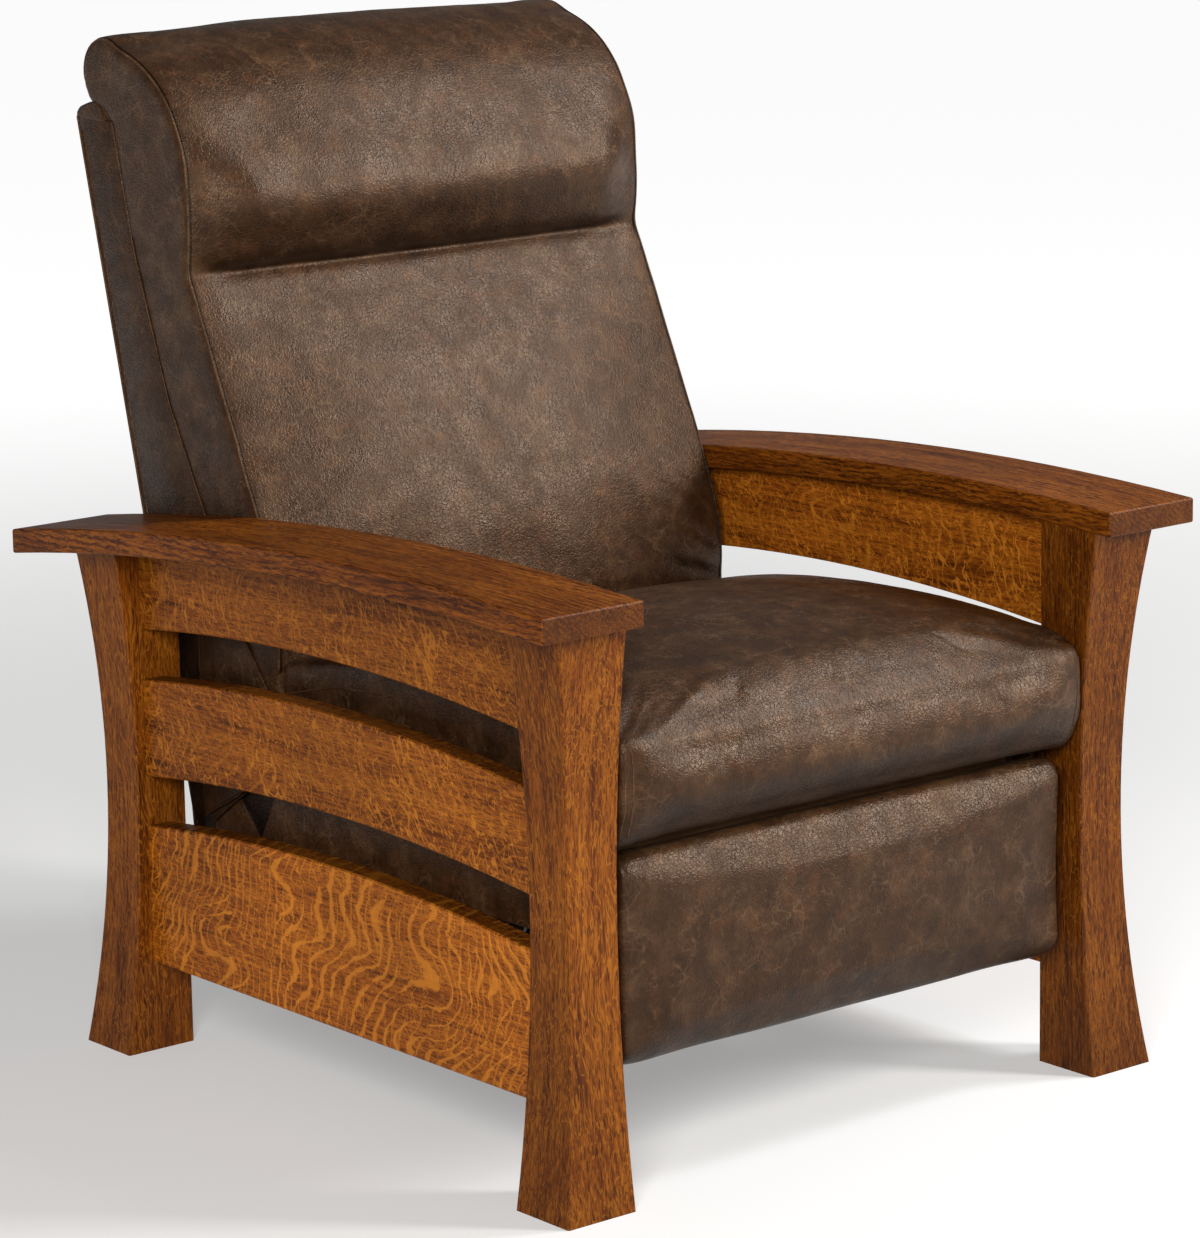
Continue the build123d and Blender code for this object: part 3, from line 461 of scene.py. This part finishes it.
SAWN_DARK = (0.17, 0.095, 0.045)
SAWN_LIGHT = (0.36, 0.23, 0.12)
PAINT = (0.014, 0.014, 0.016)
PAINT_WORN = (0.13, 0.12, 0.11)
ZINC_DARK = (0.42, 0.42, 0.40)
ZINC_LIGHT = (0.66, 0.66, 0.64)


def plain_wood(name):
    """Sawn hardwood of the hidden frames."""
    g = Graph(name)
    streaks = g.stretched(g.place, (0, 0, 0), (14.0, 120.0, 120.0), 4.0, 0.6)
    colour = g.ramp(streaks, (0.3, SAWN_DARK), (0.7, SAWN_LIGHT))
    sawn = g.stretched(g.place, (2, 0, 0), (700.0, 700.0, 60.0))
    return g.shader({"Base Color": colour, "Roughness": 0.78, "Normal": g.bump(sawn, 0.2 * MM, 0.5)})


def black_steel(name):
    """Satin black paint, worn paler in scattered patches."""
    g = Graph(name)
    worn = g.ramp(g.noise(g.place, 60.0, 6.0, 0.7), (0.62, 0.0), (0.74, 1.0))
    colour = g.mix(g.times(worn, 0.35), PAINT, PAINT_WORN)
    rough = g.ramp(g.noise(g.place, 90.0, 3.0), (0.3, 0.34), (0.7, 0.5))
    orange_peel = g.bump(g.noise(g.place, 1500.0, 1.0), 0.05 * MM, 0.4)
    return g.shader({"Base Color": colour, "Roughness": rough, "Normal": orange_peel})


def zinc(name):
    """Plated steel with a faint spangle."""
    g = Graph(name)
    spangle = g.noise(g.place, 240.0, 3.0)
    colour = g.ramp(spangle, (0.35, ZINC_DARK), (0.65, ZINC_LIGHT))
    rough = g.ramp(spangle, (0.3, 0.26), (0.7, 0.4))
    return g.shader({"Base Color": colour, "Metallic": 1.0, "Roughness": rough})


def dress(node, material):
    """Gives a carried-over solid its material."""
    obj = frame["nodes"][node]
    if not obj.material_slots:
        obj.data.materials.append(material)
    for place in obj.material_slots:
        place.material = material


# How light each board is against the others: partly the boards' own tone, partly painted light and shade
# set board by board against how brightly the lamps light it.
LEG_SHADES = {
    "leg_front_right": 0.90,
    "leg_front_left": 0.62,
    "leg_rear_right": 1.0,
    "leg_rear_left": 0.80,
}
RAIL_SHADES = {"bottom_rail": 1.64, "middle_rail": 1.20, "top_rail": 1.0, "top_rail_left": 1.5}
RAIL_CUTS = {"bottom_rail": "figured", "middle_rail": "quartered", "top_rail": "quartered"}
ARM_SHADE = 0.94
STRETCHER_SHADE = 0.9


def dress_frame():
    """Each board has its own oak. The hidden wood and the metal share one material each."""
    pieces = [(node, "Z", "rift", shade) for node, shade in LEG_SHADES.items()]
    for side, _ in SIDES:
        for rail, cut in RAIL_CUTS.items():
            node = f"{rail}_{side}"
            pieces.append((node, "Y", cut, RAIL_SHADES.get(node, RAIL_SHADES[rail])))
        pieces.append((f"arm_{side}", "Y", "plain", ARM_SHADE))
    pieces.append(("rear_stretcher", "X", "plain", STRETCHER_SHADE))
    for number, (node, grain, cut, shade) in enumerate(pieces):
        dress(node, oak(f"oak_{node}", grain, number + 1, cut, shade))

    slots = {row["node"]: row["material_slot"] for row in frame["record"]["subparts"]}
    makers = {"frame_wood": plain_wood, "steel": black_steel, "zinc": zinc}
    shared = {name: make(name) for name, make in makers.items()}
    for node, name in slots.items():
        if name in shared:
            dress(node, shared[name])


# Soft meshes

MEETING = 1.0 * MM
WELD = 0.01 * MM
VOXEL = 5.5 * MM
SMOOTH_STEPS = 6
SMOOTH_FACTOR = 0.5
SWELL_FRAMES = 16
CLOTH = {
    "quality": 3,
    "mass": 0.4,
    "tension_stiffness": 12,
    "compression_stiffness": 12,
    "shear_stiffness": 6,
    "bending_stiffness": 0.4,
    "use_pressure": True,
}
LEAST_HOLD = 0.02


def linked(name, data):
    obj = bpy.data.objects.new(name, data)
    bpy.context.scene.collection.objects.link(obj)
    return obj


def soft_copy(name, *nodes):
    """A new object with the meshes of soft solids. Solids that meet are sunk into each other."""
    mesh = bpy.data.meshes.new(name)
    joined = bmesh.new()
    for order, node in enumerate(nodes):
        before = len(joined.verts)
        joined.from_mesh(frame["nodes"][node].data)
        joined.verts.ensure_lookup_table()
        bmesh.ops.translate(joined, vec=(0, 0, -order * MEETING), verts=joined.verts[before:])
    joined.to_mesh(mesh)
    joined.free()
    return linked(name, mesh)


def settle(obj):
    """Applies the object's modifiers."""
    graph = bpy.context.evaluated_depsgraph_get()
    mesh = bpy.data.meshes.new_from_object(obj.evaluated_get(graph))
    obj.modifiers.clear()
    obj.data = mesh


def remesh(obj, voxel, smooth_steps):
    modifier = obj.modifiers.new("remesh", "REMESH")
    modifier.mode = "VOXEL"
    modifier.voxel_size = voxel
    smooth = obj.modifiers.new("smooth", "SMOOTH")
    smooth.factor = SMOOTH_FACTOR
    smooth.iterations = smooth_steps
    settle(obj)


def subdivide(obj):
    modifier = obj.modifiers.new("subdivision", "SUBSURF")
    modifier.levels = modifier.render_levels = 1
    settle(obj)


def points_of(mesh):
    co = np.empty(len(mesh.vertices) * 3)
    mesh.vertices.foreach_get("co", co)
    return co.reshape(-1, 3)


def normals_of(mesh):
    out = np.empty(len(mesh.vertices) * 3)
    mesh.vertex_normals.foreach_get("vector", out)
    return out.reshape(-1, 3)


def put_points(obj, points):
    obj.data.vertices.foreach_set("co", points.reshape(-1))
    obj.data.update()


HASH_PRIMES = (374761393, 668265263, 1442695041, 974634777)


def lattice_noise(points, seed):
    """Smooth noise from -1 to 1 with lattice cells one unit wide."""
    cell = np.floor(points).astype(np.int64)
    part = points - cell
    part = part * part * (3 - 2 * part)
    total = np.zeros(len(points))
    for corner in range(8):
        bits = [(corner >> axis) & 1 for axis in range(3)]
        code = np.full(len(points), seed * HASH_PRIMES[3], dtype=np.int64)
        weight = np.ones(len(points))
        for axis, bit in enumerate(bits):
            code = code + (cell[:, axis] + bit) * HASH_PRIMES[axis]
            weight = weight * (part[:, axis] if bit else 1 - part[:, axis])
        code = (code ^ (code >> 13)) * HASH_PRIMES[0]
        code = (code ^ (code >> 16)) & 0xFFFF
        total += weight * (code / 0x7FFF - 1)
    return total


def folds(points, wavelengths, seed):
    """Noise whose waves have their own length along X, Y and Z."""
    return lattice_noise(points / np.array(wavelengths), seed)


def slack_of(points, rows, masks):
    """The sum of several folds. A row is wavelengths, seed, height in mm and the name of its mask."""
    total = 0
    for wavelengths, seed, height, where in rows:
        total = total + folds(points, wavelengths, seed) * height * MM * masks[where]
    return total


def near(distance, width):
    """1 at a line and 0 well away from it."""
    return np.exp(-(distance / width) ** 2)


def eased(value, start, end):
    """0 up to the start, 1 from the end on, and a smooth step between them."""
    share = np.clip((value - start) / (end - start), 0, 1)
    return share * share * (3 - 2 * share)


def inflate(obj, pressure, cap, held):
    """Blows the skin up like a filled cover. held says how firmly each point stays, from 0 to 1."""
    before = points_of(obj.data)
    group = obj.vertex_groups.new(name="held")
    for index, weight in enumerate(held(before)):
        if weight > LEAST_HOLD:
            group.add([index], float(weight), "REPLACE")
    cloth = obj.modifiers.new("cloth", "CLOTH")
    for key, value in CLOTH.items():
        setattr(cloth.settings, key, value)
    cloth.settings.uniform_pressure_force = pressure
    cloth.settings.vertex_group_mass = "held"
    cloth.settings.effector_weights.gravity = 0
    cloth.collision_settings.use_collision = False
    scene = bpy.context.scene
    scene.frame_start, scene.frame_end = 1, SWELL_FRAMES
    for number in range(1, SWELL_FRAMES + 1):
        scene.frame_set(number)
    settle(obj)
    obj.vertex_groups.clear()
    scene.frame_set(1)
    step = points_of(obj.data) - before
    length = np.linalg.norm(step, axis=1, keepdims=True)
    step *= np.minimum(1, cap / np.maximum(length, 1e-9))
    put_points(obj, before + step)


def prepare(obj, pressure, cap, held):
    remesh(obj, VOXEL, SMOOTH_STEPS)
    inflate(obj, pressure, cap, held)
    subdivide(obj)


def finish_soft(obj, material, body, *nodes):
    for polygon in obj.data.polygons:
        polygon.use_smooth = True
    obj.data.materials.clear()
    obj.data.materials.append(material)
    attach(obj, body)
    if nodes:
        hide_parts(*nodes)


# Seams, laid on a finished skin by shots from inside it

def skin_tree(obj):
    graph = bpy.context.evaluated_depsgraph_get()
    return BVHTree.FromObject(obj, graph)


def stations_between(stations, steps):
    """More stations between the given ones. A station is where a shot starts and which way it goes."""
    rows = np.array([(*place, *way) for place, way in stations])
    at = np.linspace(0, len(rows) - 1, steps)
    full = np.stack([np.interp(at, range(len(rows)), column) for column in rows.T], axis=1)
    return full[:, :3], full[:, 3:]


def laid_on(tree, stations, steps, lift):
    """Points on the skin, raised a little, one for each shot that meets it."""
    out = []
    for place, way in zip(*stations_between(stations, steps)):
        hit, normal, _, _ = tree.ray_cast(Vector(place), Vector(way).normalized())
        if hit is not None:
            outward = normal if normal.dot(Vector(way)) > 0 else -normal
            out.append(hit + outward * lift)
    return out


def side_way(angle):
    """A direction in the side view, from +Y towards +Z, in degrees."""
    turn = math.radians(angle)
    return 0.0, math.cos(turn), math.sin(turn)


def evened(path, steps):
    """The path drawn again at even steps along its length, so that it bends smoothly."""
    points = np.array(path)
    run = np.concatenate([[0], np.cumsum(np.linalg.norm(np.diff(points, axis=0), axis=1))])
    at = np.linspace(0, run[-1], steps)
    points = np.stack([np.interp(at, run, column) for column in points.T], axis=1)
    for _ in range(2):
        points[1:-1] = (points[:-2] + 2 * points[1:-1] + points[2:]) / 4
    return points


def cord_of(name, paths, radius, material, body):
    """Thin leather-covered cords along the paths, as one piece."""
    curve = bpy.data.curves.new(name, "CURVE")
    curve.dimensions = "3D"
    curve.bevel_depth = radius
    curve.bevel_resolution = 2
    curve.use_fill_caps = True
    for path in paths:
        spline = curve.splines.new("POLY")
        spline.points.add(len(path) - 1)
        for point, place in zip(spline.points, path):
            point.co = (*place, 1.0)
        spline.use_smooth = True
    curve.materials.append(material)
    obj = linked(name, curve)
    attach(obj, body)
    return obj


# Cushions

SWELL_PRESSURE = 3.0
SEAM_INSET = 3.0 * MM
SEAM_LIFT = 0.3 * MM
SEAM_RADIUS = 1.3 * MM
# Where the dark cord of painted shadow lies in from the side, and how thick it is
GROOVE_INSET = 5.2 * MM
GROOVE_RADIUS = 0.9 * MM
FINE_RADIUS = 0.8 * MM
SEAM_STEPS = 160


def slackened(obj, waves):
    """The skin's points moved along their normals by waves(points, normals), and those normals."""
    points, normals = points_of(obj.data), normals_of(obj.data)
    return points + normals * waves(points, normals)[:, None], normals


TUCK_DEPTH = 12.0 * MM
TUCK_HEIGHT = 62.0 * MM
TUCK_REACH = (35.0 * MM, 90.0 * MM)
TUCK_ENDS = 90.0 * MM
TUCK_AT_ENDS = 0.3


def tucked(points, low):
    """Draws the lower part of the seat's front back under it."""
    below = 1 - np.clip((points[:, 2] - low[2]) / TUCK_HEIGHT, 0, 1)
    ahead = 1 - eased(points[:, 1] - low[1], *TUCK_REACH)
    inboard = eased(seat_half - np.abs(points[:, 0]), 0, TUCK_ENDS)
    points[:, 1] += TUCK_DEPTH * below * below * ahead * (TUCK_AT_ENDS + (1 - TUCK_AT_ENDS) * inboard)
    return points


SEAT_SWELL = 7.0 * MM
# How near to each edge of the skin it is held while it swells, and how firmly at the ends
SEAT_HELD = {"bottom": 16 * MM, "ends": 7 * MM, "rear": 14 * MM}
SEAT_ENDS_FIRM = 0.6
SEAT_CORNER = (45 * MM, 70 * MM)
SEAT_PRESSED = 60 * MM
SEAT_FOLDS = (
    ((0.11, 0.16, 0.20), 3, 1.1, "top"),
    ((0.05, 0.09, 0.12), 4, 0.5, "top and front"),
    ((0.018, 0.06, 0.03), 5, 1.4, "front corners"),
    ((0.04, 0.03, 0.10), 6, 1.4, "under the back"),
)


def make_seat_cushion():
    """One plump cushion, held at its foot and sewn ends."""
    low, high = seat_box

    def held(points):
        bottom = near(points[:, 2] - low[2], SEAT_HELD["bottom"])
        ends = SEAT_ENDS_FIRM * near(np.abs(points[:, 0]) - seat_half, SEAT_HELD["ends"])
        rear = near(points[:, 1] - high[1], SEAT_HELD["rear"])
        return np.clip(bottom + ends + rear, 0, 1)

    def waves(points, normals):
        top = np.clip(normals[:, 2], 0, 1)
        front = np.clip(-normals[:, 1], 0, 1)
        aside = seat_half - np.abs(points[:, 0])
        side_reach, front_reach = SEAT_CORNER
        return slack_of(points, SEAT_FOLDS, {
            "top": top,
            "top and front": top + front,
            "front corners": near(aside, side_reach) * near(points[:, 1] - low[1], front_reach),
            "under the back": near(points[:, 1] - high[1], SEAT_PRESSED) * top,
        })

    obj = soft_copy("seat_cushion_leather", "seat_cushion")
    prepare(obj, SWELL_PRESSURE, SEAT_SWELL, held)
    points, _ = slackened(obj, waves)
    points[:, 0] = np.clip(points[:, 0], -seat_half, seat_half)
    points[:, 2] = np.maximum(points[:, 2], low[2])
    points = tucked(points, low)
    put_points(obj, points)
    finish_soft(obj, hide["seat"], "seat", "seat_cushion")
    return obj


# Side seam of the seat as (Y, Z), its front seams as heights, and how far these lie from the ends, in mm
SEAT_SIDE_SEAM = ((150, 414), (60, 436), (-60, 446), (-220, 447), (-330, 440))
SEAT_FRONT_SEAM = (448, 420, 390, 362)
SEAT_FRONT_INSETS = (4, 11)
SEAT_CORE_Y = -300
SHOT_START_SHARE = 0.8


def make_seat_seams(obj):
    """The boxing seam low on each side, and the pair of upright seams at each end of the front."""
    tree = skin_tree(obj)
    core_y = middle_y + SEAT_CORE_Y * MM
    side_paths, front_paths = [], []
    for _, sign in SIDES:
        x = sign * SHOT_START_SHARE * seat_half
        shots = [((x, middle_y + y * MM, z * MM), (sign, 0, 0)) for y, z in SEAT_SIDE_SEAM]
        side_paths.append(evened(laid_on(tree, shots, SEAM_STEPS, 0), SEAM_STEPS))
        for inset in SEAT_FRONT_INSETS:
            x = sign * (seat_half - inset * MM)
            shots = [((x, core_y, z * MM), (0, -1, 0)) for z in SEAT_FRONT_SEAM]
            front_paths.append(evened(laid_on(tree, shots, SEAM_STEPS, 0), SEAM_STEPS))
    cord_of("seat_side_seams", side_paths, FINE_RADIUS, hide["welt_painted_highlight"], "seat")
    cord_of("seat_front_seams", front_paths, FINE_RADIUS, hide["welt_painted_highlight"], "seat")


CREASE_DEPTH = 4.0 * MM
CREASE_SIDE_DEPTH = 2.5 * MM
CREASE_WIDTHS = (8.0 * MM, 20.0 * MM)
CREASE_FULL = (4.0 * MM, 75.0 * MM)
LIP_DROP = 7.0 * MM
LIP_PLACE = (22.0 * MM, 18.0 * MM)
LIP_AT_ENDS = 0.15
ROLL_BULGE = 23.0 * MM
ROLL_PLACE = (76.0 * MM, 54.0 * MM)
CREASE_DIP = 8.0 * MM
DIP_WIDTHS = (70.0 * MM, 10.0 * MM)


def crease(points, normals):
    """Draws the skin in along the head seam, and lets the roll hang over it except at its ends."""
    aside = back_half - np.abs(points[:, 0])
    full = eased(aside, *CREASE_FULL)
    front = np.sqrt(np.clip(-normals[:, 1], 0, 1))
    above = points[:, 2] - head_seam_z
    width = np.where(above > 0, CREASE_WIDTHS[1], CREASE_WIDTHS[0])
    depth = (CREASE_SIDE_DEPTH + (CREASE_DEPTH - CREASE_SIDE_DEPTH) * full) * near(above, width) * front
    lip = LIP_DROP * (LIP_AT_ENDS + (1 - LIP_AT_ENDS) * full)
    lip = lip * near(above - LIP_PLACE[0], LIP_PLACE[1]) * front
    bulge = ROLL_BULGE * full * near(above - ROLL_PLACE[0], ROLL_PLACE[1]) * front
    dip = CREASE_DIP * full * near(np.minimum(above, 0), DIP_WIDTHS[0]) * front
    dip = dip * near(np.maximum(above, 0), DIP_WIDTHS[1])
    points[:, 1] += depth + dip - bulge
    points[:, 2] -= lip
    return points


BACK_SWELL = 10.0 * MM
BACK_HELD = {"seam": 9 * MM, "ends": 7 * MM, "foot": 30 * MM, "rear": 20 * MM}
BACK_SEAM_REACH = 30 * MM
BACK_END_REACH = 26 * MM
BACK_FOLDS = (
    ((0.14, 0.20, 0.15), 11, 1.2, "all but the sides"),
    ((0.06, 0.10, 0.08), 12, 0.5, "all but the sides"),
    ((0.015, 0.10, 0.05), 13, 0.9, "beside the head seam"),
    ((0.05, 0.10, 0.024), 14, 1.2, "beside the end seams"),
    ((0.10, 0.05, 0.16), 15, 0.9, "sides"),
)


def make_inner_back():
    """The lower cushion and the head roll, sewn into one cover with a deep crease between them."""
    low = lumbar_box[0]
    high = roll_box[1]

    def held(points):
        seam = near(points[:, 2] - head_seam_z, BACK_HELD["seam"])
        ends = near(np.abs(points[:, 0]) - back_half, BACK_HELD["ends"])
        foot = near(points[:, 2] - low[2], BACK_HELD["foot"])
        rear = near(points[:, 1] - high[1], BACK_HELD["rear"])
        return np.clip(seam + ends + foot + rear, 0, 1)

    def waves(points, normals):
        front = np.clip(-normals[:, 1], 0, 1)
        side = np.abs(normals[:, 0])
        aside = back_half - np.abs(points[:, 0])
        above = points[:, 2] - head_seam_z
        return slack_of(points, BACK_FOLDS, {
            "all but the sides": 1 - side,
            "beside the head seam": near(above, BACK_SEAM_REACH) * front,
            "beside the end seams": near(aside, BACK_END_REACH) * front,
            "sides": side,
        })

    obj = soft_copy("inner_back_leather", "back_cushion", "head_roll")
    prepare(obj, SWELL_PRESSURE, BACK_SWELL, held)
    points, normals = slackened(obj, waves)
    points = crease(points, normals)
    points[:, 0] = np.clip(points[:, 0], -back_half, back_half)
    put_points(obj, points)
    finish_soft(obj, hide["back"], "back", "back_cushion", "head_roll")
    return obj


# Side view of the inner back: shots at its front and top edge, as place (Y, Z) and angle
BACK_SEAM = (
    (195, 375, 180), (198, 430, 180), (205, 480, 165), (255, 600, 158), (305, 731, 158), (345, 800, 165),
    (365, 842, 180), (380, 900, 180), (395, 950, 168), (405, 965, 135), (408, 970, 105), (410, 970, 75),
    (412, 968, 45), (412, 965, 15), (410, 962, 0),
)


def make_back_seams(obj):
    """A raised seam where the front of the inner back meets its side boxing, and beside it a dark cord of
    painted shadow where the seam sinks in.
    """
    tree = skin_tree(obj)
    for name, inset, radius, cover in (
        ("inner_back_seams", SEAM_INSET, SEAM_RADIUS, "welt_painted_highlight"),
        ("inner_back_seam_shadows", GROOVE_INSET, GROOVE_RADIUS, "painted_shadow"),
    ):
        paths = []
        for _, sign in SIDES:
            x = sign * (back_half - inset)
            shots = [((x, middle_y + y * MM, z * MM), side_way(angle)) for y, z, angle in BACK_SEAM]
            paths.append(evened(laid_on(tree, shots, SEAM_STEPS, SEAM_LIFT), SEAM_STEPS))
        cord_of(name, paths, radius, hide[cover], "back")


REST_PRESSURE = 2.0
REST_SWELL = 4.0 * MM
REST_HELD = {"ends": 7 * MM, "rear": 25 * MM}
REST_FOLDS = (
    ((0.12, 0.20, 0.10), 31, 1.0, "front"),
    ((0.05, 0.10, 0.05), 32, 0.5, "front"),
)


def make_footrest_pad():
    """A thin pad on the footrest's board, held where it meets the board."""
    low, high = rest_box

    def held(points):
        ends = near(np.abs(points[:, 0]) - rest_half, REST_HELD["ends"])
        rear = near(points[:, 1] - high[1], REST_HELD["rear"])
        return np.clip(ends + rear, 0, 1)

    def waves(points, normals):
        return slack_of(points, REST_FOLDS, {"front": np.clip(-normals[:, 1], 0, 1)})

    obj = soft_copy("footrest_pad_leather", "footrest_pad")
    prepare(obj, REST_PRESSURE, REST_SWELL, held)
    points, _ = slackened(obj, waves)
    points[:, 0] = np.clip(points[:, 0], -rest_half, rest_half)
    points[:, 2] = np.clip(points[:, 2], low[2], high[2])
    put_points(obj, points)
    finish_soft(obj, hide["rest"], "footrest", "footrest_pad")
    return obj


# Flat leather-covered panels

COVER_ROUND = 2.5 * MM
LINING_ROUND = 0.8 * MM
ROLL_SEGMENTS = 3
OUTLINE_GRID = 0.1 * MM
FLAT_ANGLE = math.radians(2.0)
SHARP_ANGLE = math.radians(40.0)


def roll_edges(obj, width):
    bevel = obj.modifiers.new("rolled_edges", "BEVEL")
    bevel.width = width
    bevel.segments = ROLL_SEGMENTS
    bevel.limit_method = "ANGLE"
    bevel.angle_limit = SHARP_ANGLE
    settle(obj)


def make_flat_cover(node, body, material):
    """Leather drawn tight over a thin board, with its edges rolled."""
    obj = soft_copy(f"{node}_leather", node)
    whole = bmesh.new()
    whole.from_mesh(obj.data)
    bmesh.ops.remove_doubles(whole, verts=whole.verts, dist=WELD)
    bmesh.ops.dissolve_limit(whole, angle_limit=FLAT_ANGLE, verts=whole.verts, edges=whole.edges)
    whole.to_mesh(obj.data)
    whole.free()
    roll_edges(obj, COVER_ROUND)
    finish_soft(obj, material, body, node)
    obj.data.set_sharp_from_angle(angle=SHARP_ANGLE)
    return obj


def side_outline(node, sign):
    """Corners (Y, Z) of a flat cover's outer face, lowest first."""
    points = points_of(frame["nodes"][node].data)
    outer = np.abs(points[:, 0]).max()
    face = points[sign * points[:, 0] > outer - OUTLINE_GRID][:, 1:]
    corners = np.unique(np.round(face / OUTLINE_GRID), axis=0) * OUTLINE_GRID
    return corners[np.argsort(corners[:, 1])]


# Flat linings seen through the side gaps: name, body, how far the two faces lie in from the side,
# side outline in (Y, Z), and cover. Lengths are in mm. The rear strip and the seat's tail lining are in the
# darkest leather, as painted shadow.
LININGS = (
    ("back_tail", "back", (14, 11),
     ((300, 300), (300, 236), (180, 236), (198, 256), (240, 289), (240, 300)), "skirt"),
    ("back_tail_fold", "back", (7, 5),
     ((304, 292), (303, 262), (297, 249), (232, 293)), "side"),
    ("back_rear_strip", "back", (2, -1),
     ((303, 232), (324, 232), (330, 290), (364, 430), (380, 500), (303, 500)), "painted_shadow"),
    ("seat_tail_lining", "seat", (9.5, 8.0),
     ((135, 250), (214, 248), (253, 290), (253, 304), (135, 304)), "painted_shadow"),
)
TAIL_PIPING = ((297, 249), (265, 271), (232, 293))
TAIL_PIPING_INSET = 4.5 * MM
# A sheet behind the foot of the back, in the darkest leather as painted shadow: its outline and how far it
# stays inside the sides
FOOT_SHADOW_SHEET = ((318, 232), (322, 232), (322, 296), (318, 296))
FOOT_SHADOW_SHEET_INSET = 4.0 * MM


def slab_between(name, x_range, rim, cover, body="back", rolled=LINING_ROUND):
    """A flat piece between two places in X, with a side outline in (Y, Z), in mm."""
    mesh = bpy.data.meshes.new(name)
    count = len(rim)
    points = [(x, middle_y + y * MM, z * MM) for x in x_range for y, z in rim]
    faces = [list(range(count)), list(range(2 * count - 1, count - 1, -1))]
    faces += [[a, a + count, (a + 1) % count + count, (a + 1) % count] for a in range(count)]
    mesh.from_pydata(points, [], faces)
    obj = linked(name, mesh)
    roll_edges(obj, rolled)
    finish_soft(obj, hide[cover], body)
    obj.data.set_sharp_from_angle(angle=SHARP_ANGLE)


def make_linings():
    """Leather turned under behind each side cover and, behind it, sheets in the darkest leather as painted
    shadow, seen through the side gaps.
    """
    paths = []
    for side, sign in SIDES:
        for name, body, insets, rim, cover in LININGS:
            x_range = [sign * (back_half - inset * MM) for inset in insets]
            slab_between(f"{name}_{side}", x_range, rim, cover, body)
        x = sign * (back_half - TAIL_PIPING_INSET)
        paths.append(evened([(x, middle_y + y * MM, z * MM) for y, z in TAIL_PIPING], SEAM_STEPS))
    cord_of("back_tail_piping", paths, FINE_RADIUS, hide["welt_painted_highlight"], "back")
    half = back_half - FOOT_SHADOW_SHEET_INSET
    slab_between("back_foot_shadow_sheet", (-half, half), FOOT_SHADOW_SHEET, "painted_shadow")


# Side outline of the outer back's rounded top, in (Y, Z), in mm
TOP_COVER = (
    (438, 970), (498, 970), (500.5, 985), (499.5, 990), (497, 994), (493, 997), (486, 999.5),
    (476, 1002.5), (466, 1004), (456, 1001), (447, 992),
)
TOP_COVER_PROUD = 0.2 * MM


def make_top_cover():
    """The rounded top of the outer back, behind the head roll."""
    half = back_half + TOP_COVER_PROUD
    slab_between("outer_back_top", (-half, half), TOP_COVER, "side", rolled=COVER_ROUND)


COVER_LAP = 7.0 * MM
COVER_PROUD = 0.4 * MM
# Where the lap begins and is whole, ahead of the cover's rear edge
LAP_REACH = (25.0 * MM, 35.0 * MM)
FRONT_EDGE_AHEAD = 30.0 * MM
PIPING_TOP = 870.0 * MM
# How far the rear piping stands behind the foot and the top of the side cover, and below that top
PIPING_FOOT_BEHIND = 6.0 * MM
PIPING_TOP_INSET = (3.0 * MM, 6.0 * MM)


def lapped(obj, sign, rear_line):
    """Carries the front edge of a side cover over the joint with the inner back, a little proud of it."""
    points = points_of(obj.data)
    ahead = eased(rear_line(points[:, 2]) - points[:, 1], *LAP_REACH)
    points[:, 1] -= COVER_LAP * ahead
    points[:, 0] += sign * COVER_PROUD
    put_points(obj, points)


def make_outer_back():
    """The outside panel and the side covers of the back, with piping along their edges."""
    make_flat_cover("back_panel", "back", hide["rear"])
    panel_low, panel_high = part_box("back_panel")
    rear_paths, front_paths = [], []
    for side, sign in SIDES:
        node = f"back_side_panel_{side}"
        cover = make_flat_cover(node, "back", hide["side"])
        x = sign * back_half
        corners = side_outline(node, sign)
        rear_foot = corners[corners[:, 1] < panel_low[2] + 1 * MM][:, 0].max()
        slope = (panel_high[1] - rear_foot) / (panel_high[2] - panel_low[2])

        def rear_line(z, foot=rear_foot, slope=slope):
            return foot + slope * (z - panel_low[2])

        lapped(cover, sign, rear_line)
        front = corners[rear_line(corners[:, 1]) - corners[:, 0] > FRONT_EDGE_AHEAD]
        edge = [(x, y - COVER_LAP, z) for y, z in front]
        path = evened([(x, rear_foot, panel_low[2])] + edge, SEAM_STEPS)
        front_paths.append(path[path[:, 2] < PIPING_TOP])
        foot = (x, rear_foot + PIPING_FOOT_BEHIND, panel_low[2])
        top = (x, panel_high[1] - PIPING_TOP_INSET[0], panel_high[2] - PIPING_TOP_INSET[1])
        rear_paths.append(evened([foot, top], SEAM_STEPS))
    cord_of("side_cover_piping", front_paths, FINE_RADIUS, hide["welt_painted_highlight"], "back")
    cord_of("outer_back_piping", rear_paths, SEAM_RADIUS, hide["welt_painted_highlight"], "back")


def make_skirts():
    """The leather panels under the seat at its sides."""
    for side, _ in SIDES:
        make_flat_cover(f"seat_side_panel_{side}", "seat", hide["skirt"])


# How light the leather of each place is against the photo's middle tone
HIDES = {
    "seat": 0.97,
    "back": 1.0,
    "rest": 0.95,
    # The side covers are darker: painted shade
    "side": 0.82,
    "rear": 0.95,
    # The skirts and the back's tail, seen under the seat, are lighter: painted light
    "skirt": 1.5,
    # The welts and piping are real cords, painted lighter as a highlight
    "welt_painted_highlight": 1.55,
    # The darkest is painted shadow: the dark cords by the back's seams and the dark sheets seen through the
    # side gaps
    "painted_shadow": 0.16,
}

make_camera()
make_studio()
dress_frame()
hide = {}
for number, (name, shade) in enumerate(HIDES.items()):
    hide[name] = leather(f"leather_{name}", number + 1, shade)
make_seat_seams(make_seat_cushion())
make_back_seams(make_inner_back())
make_footrest_pad()
make_outer_back()
make_linings()
make_top_cover()
make_skirts()
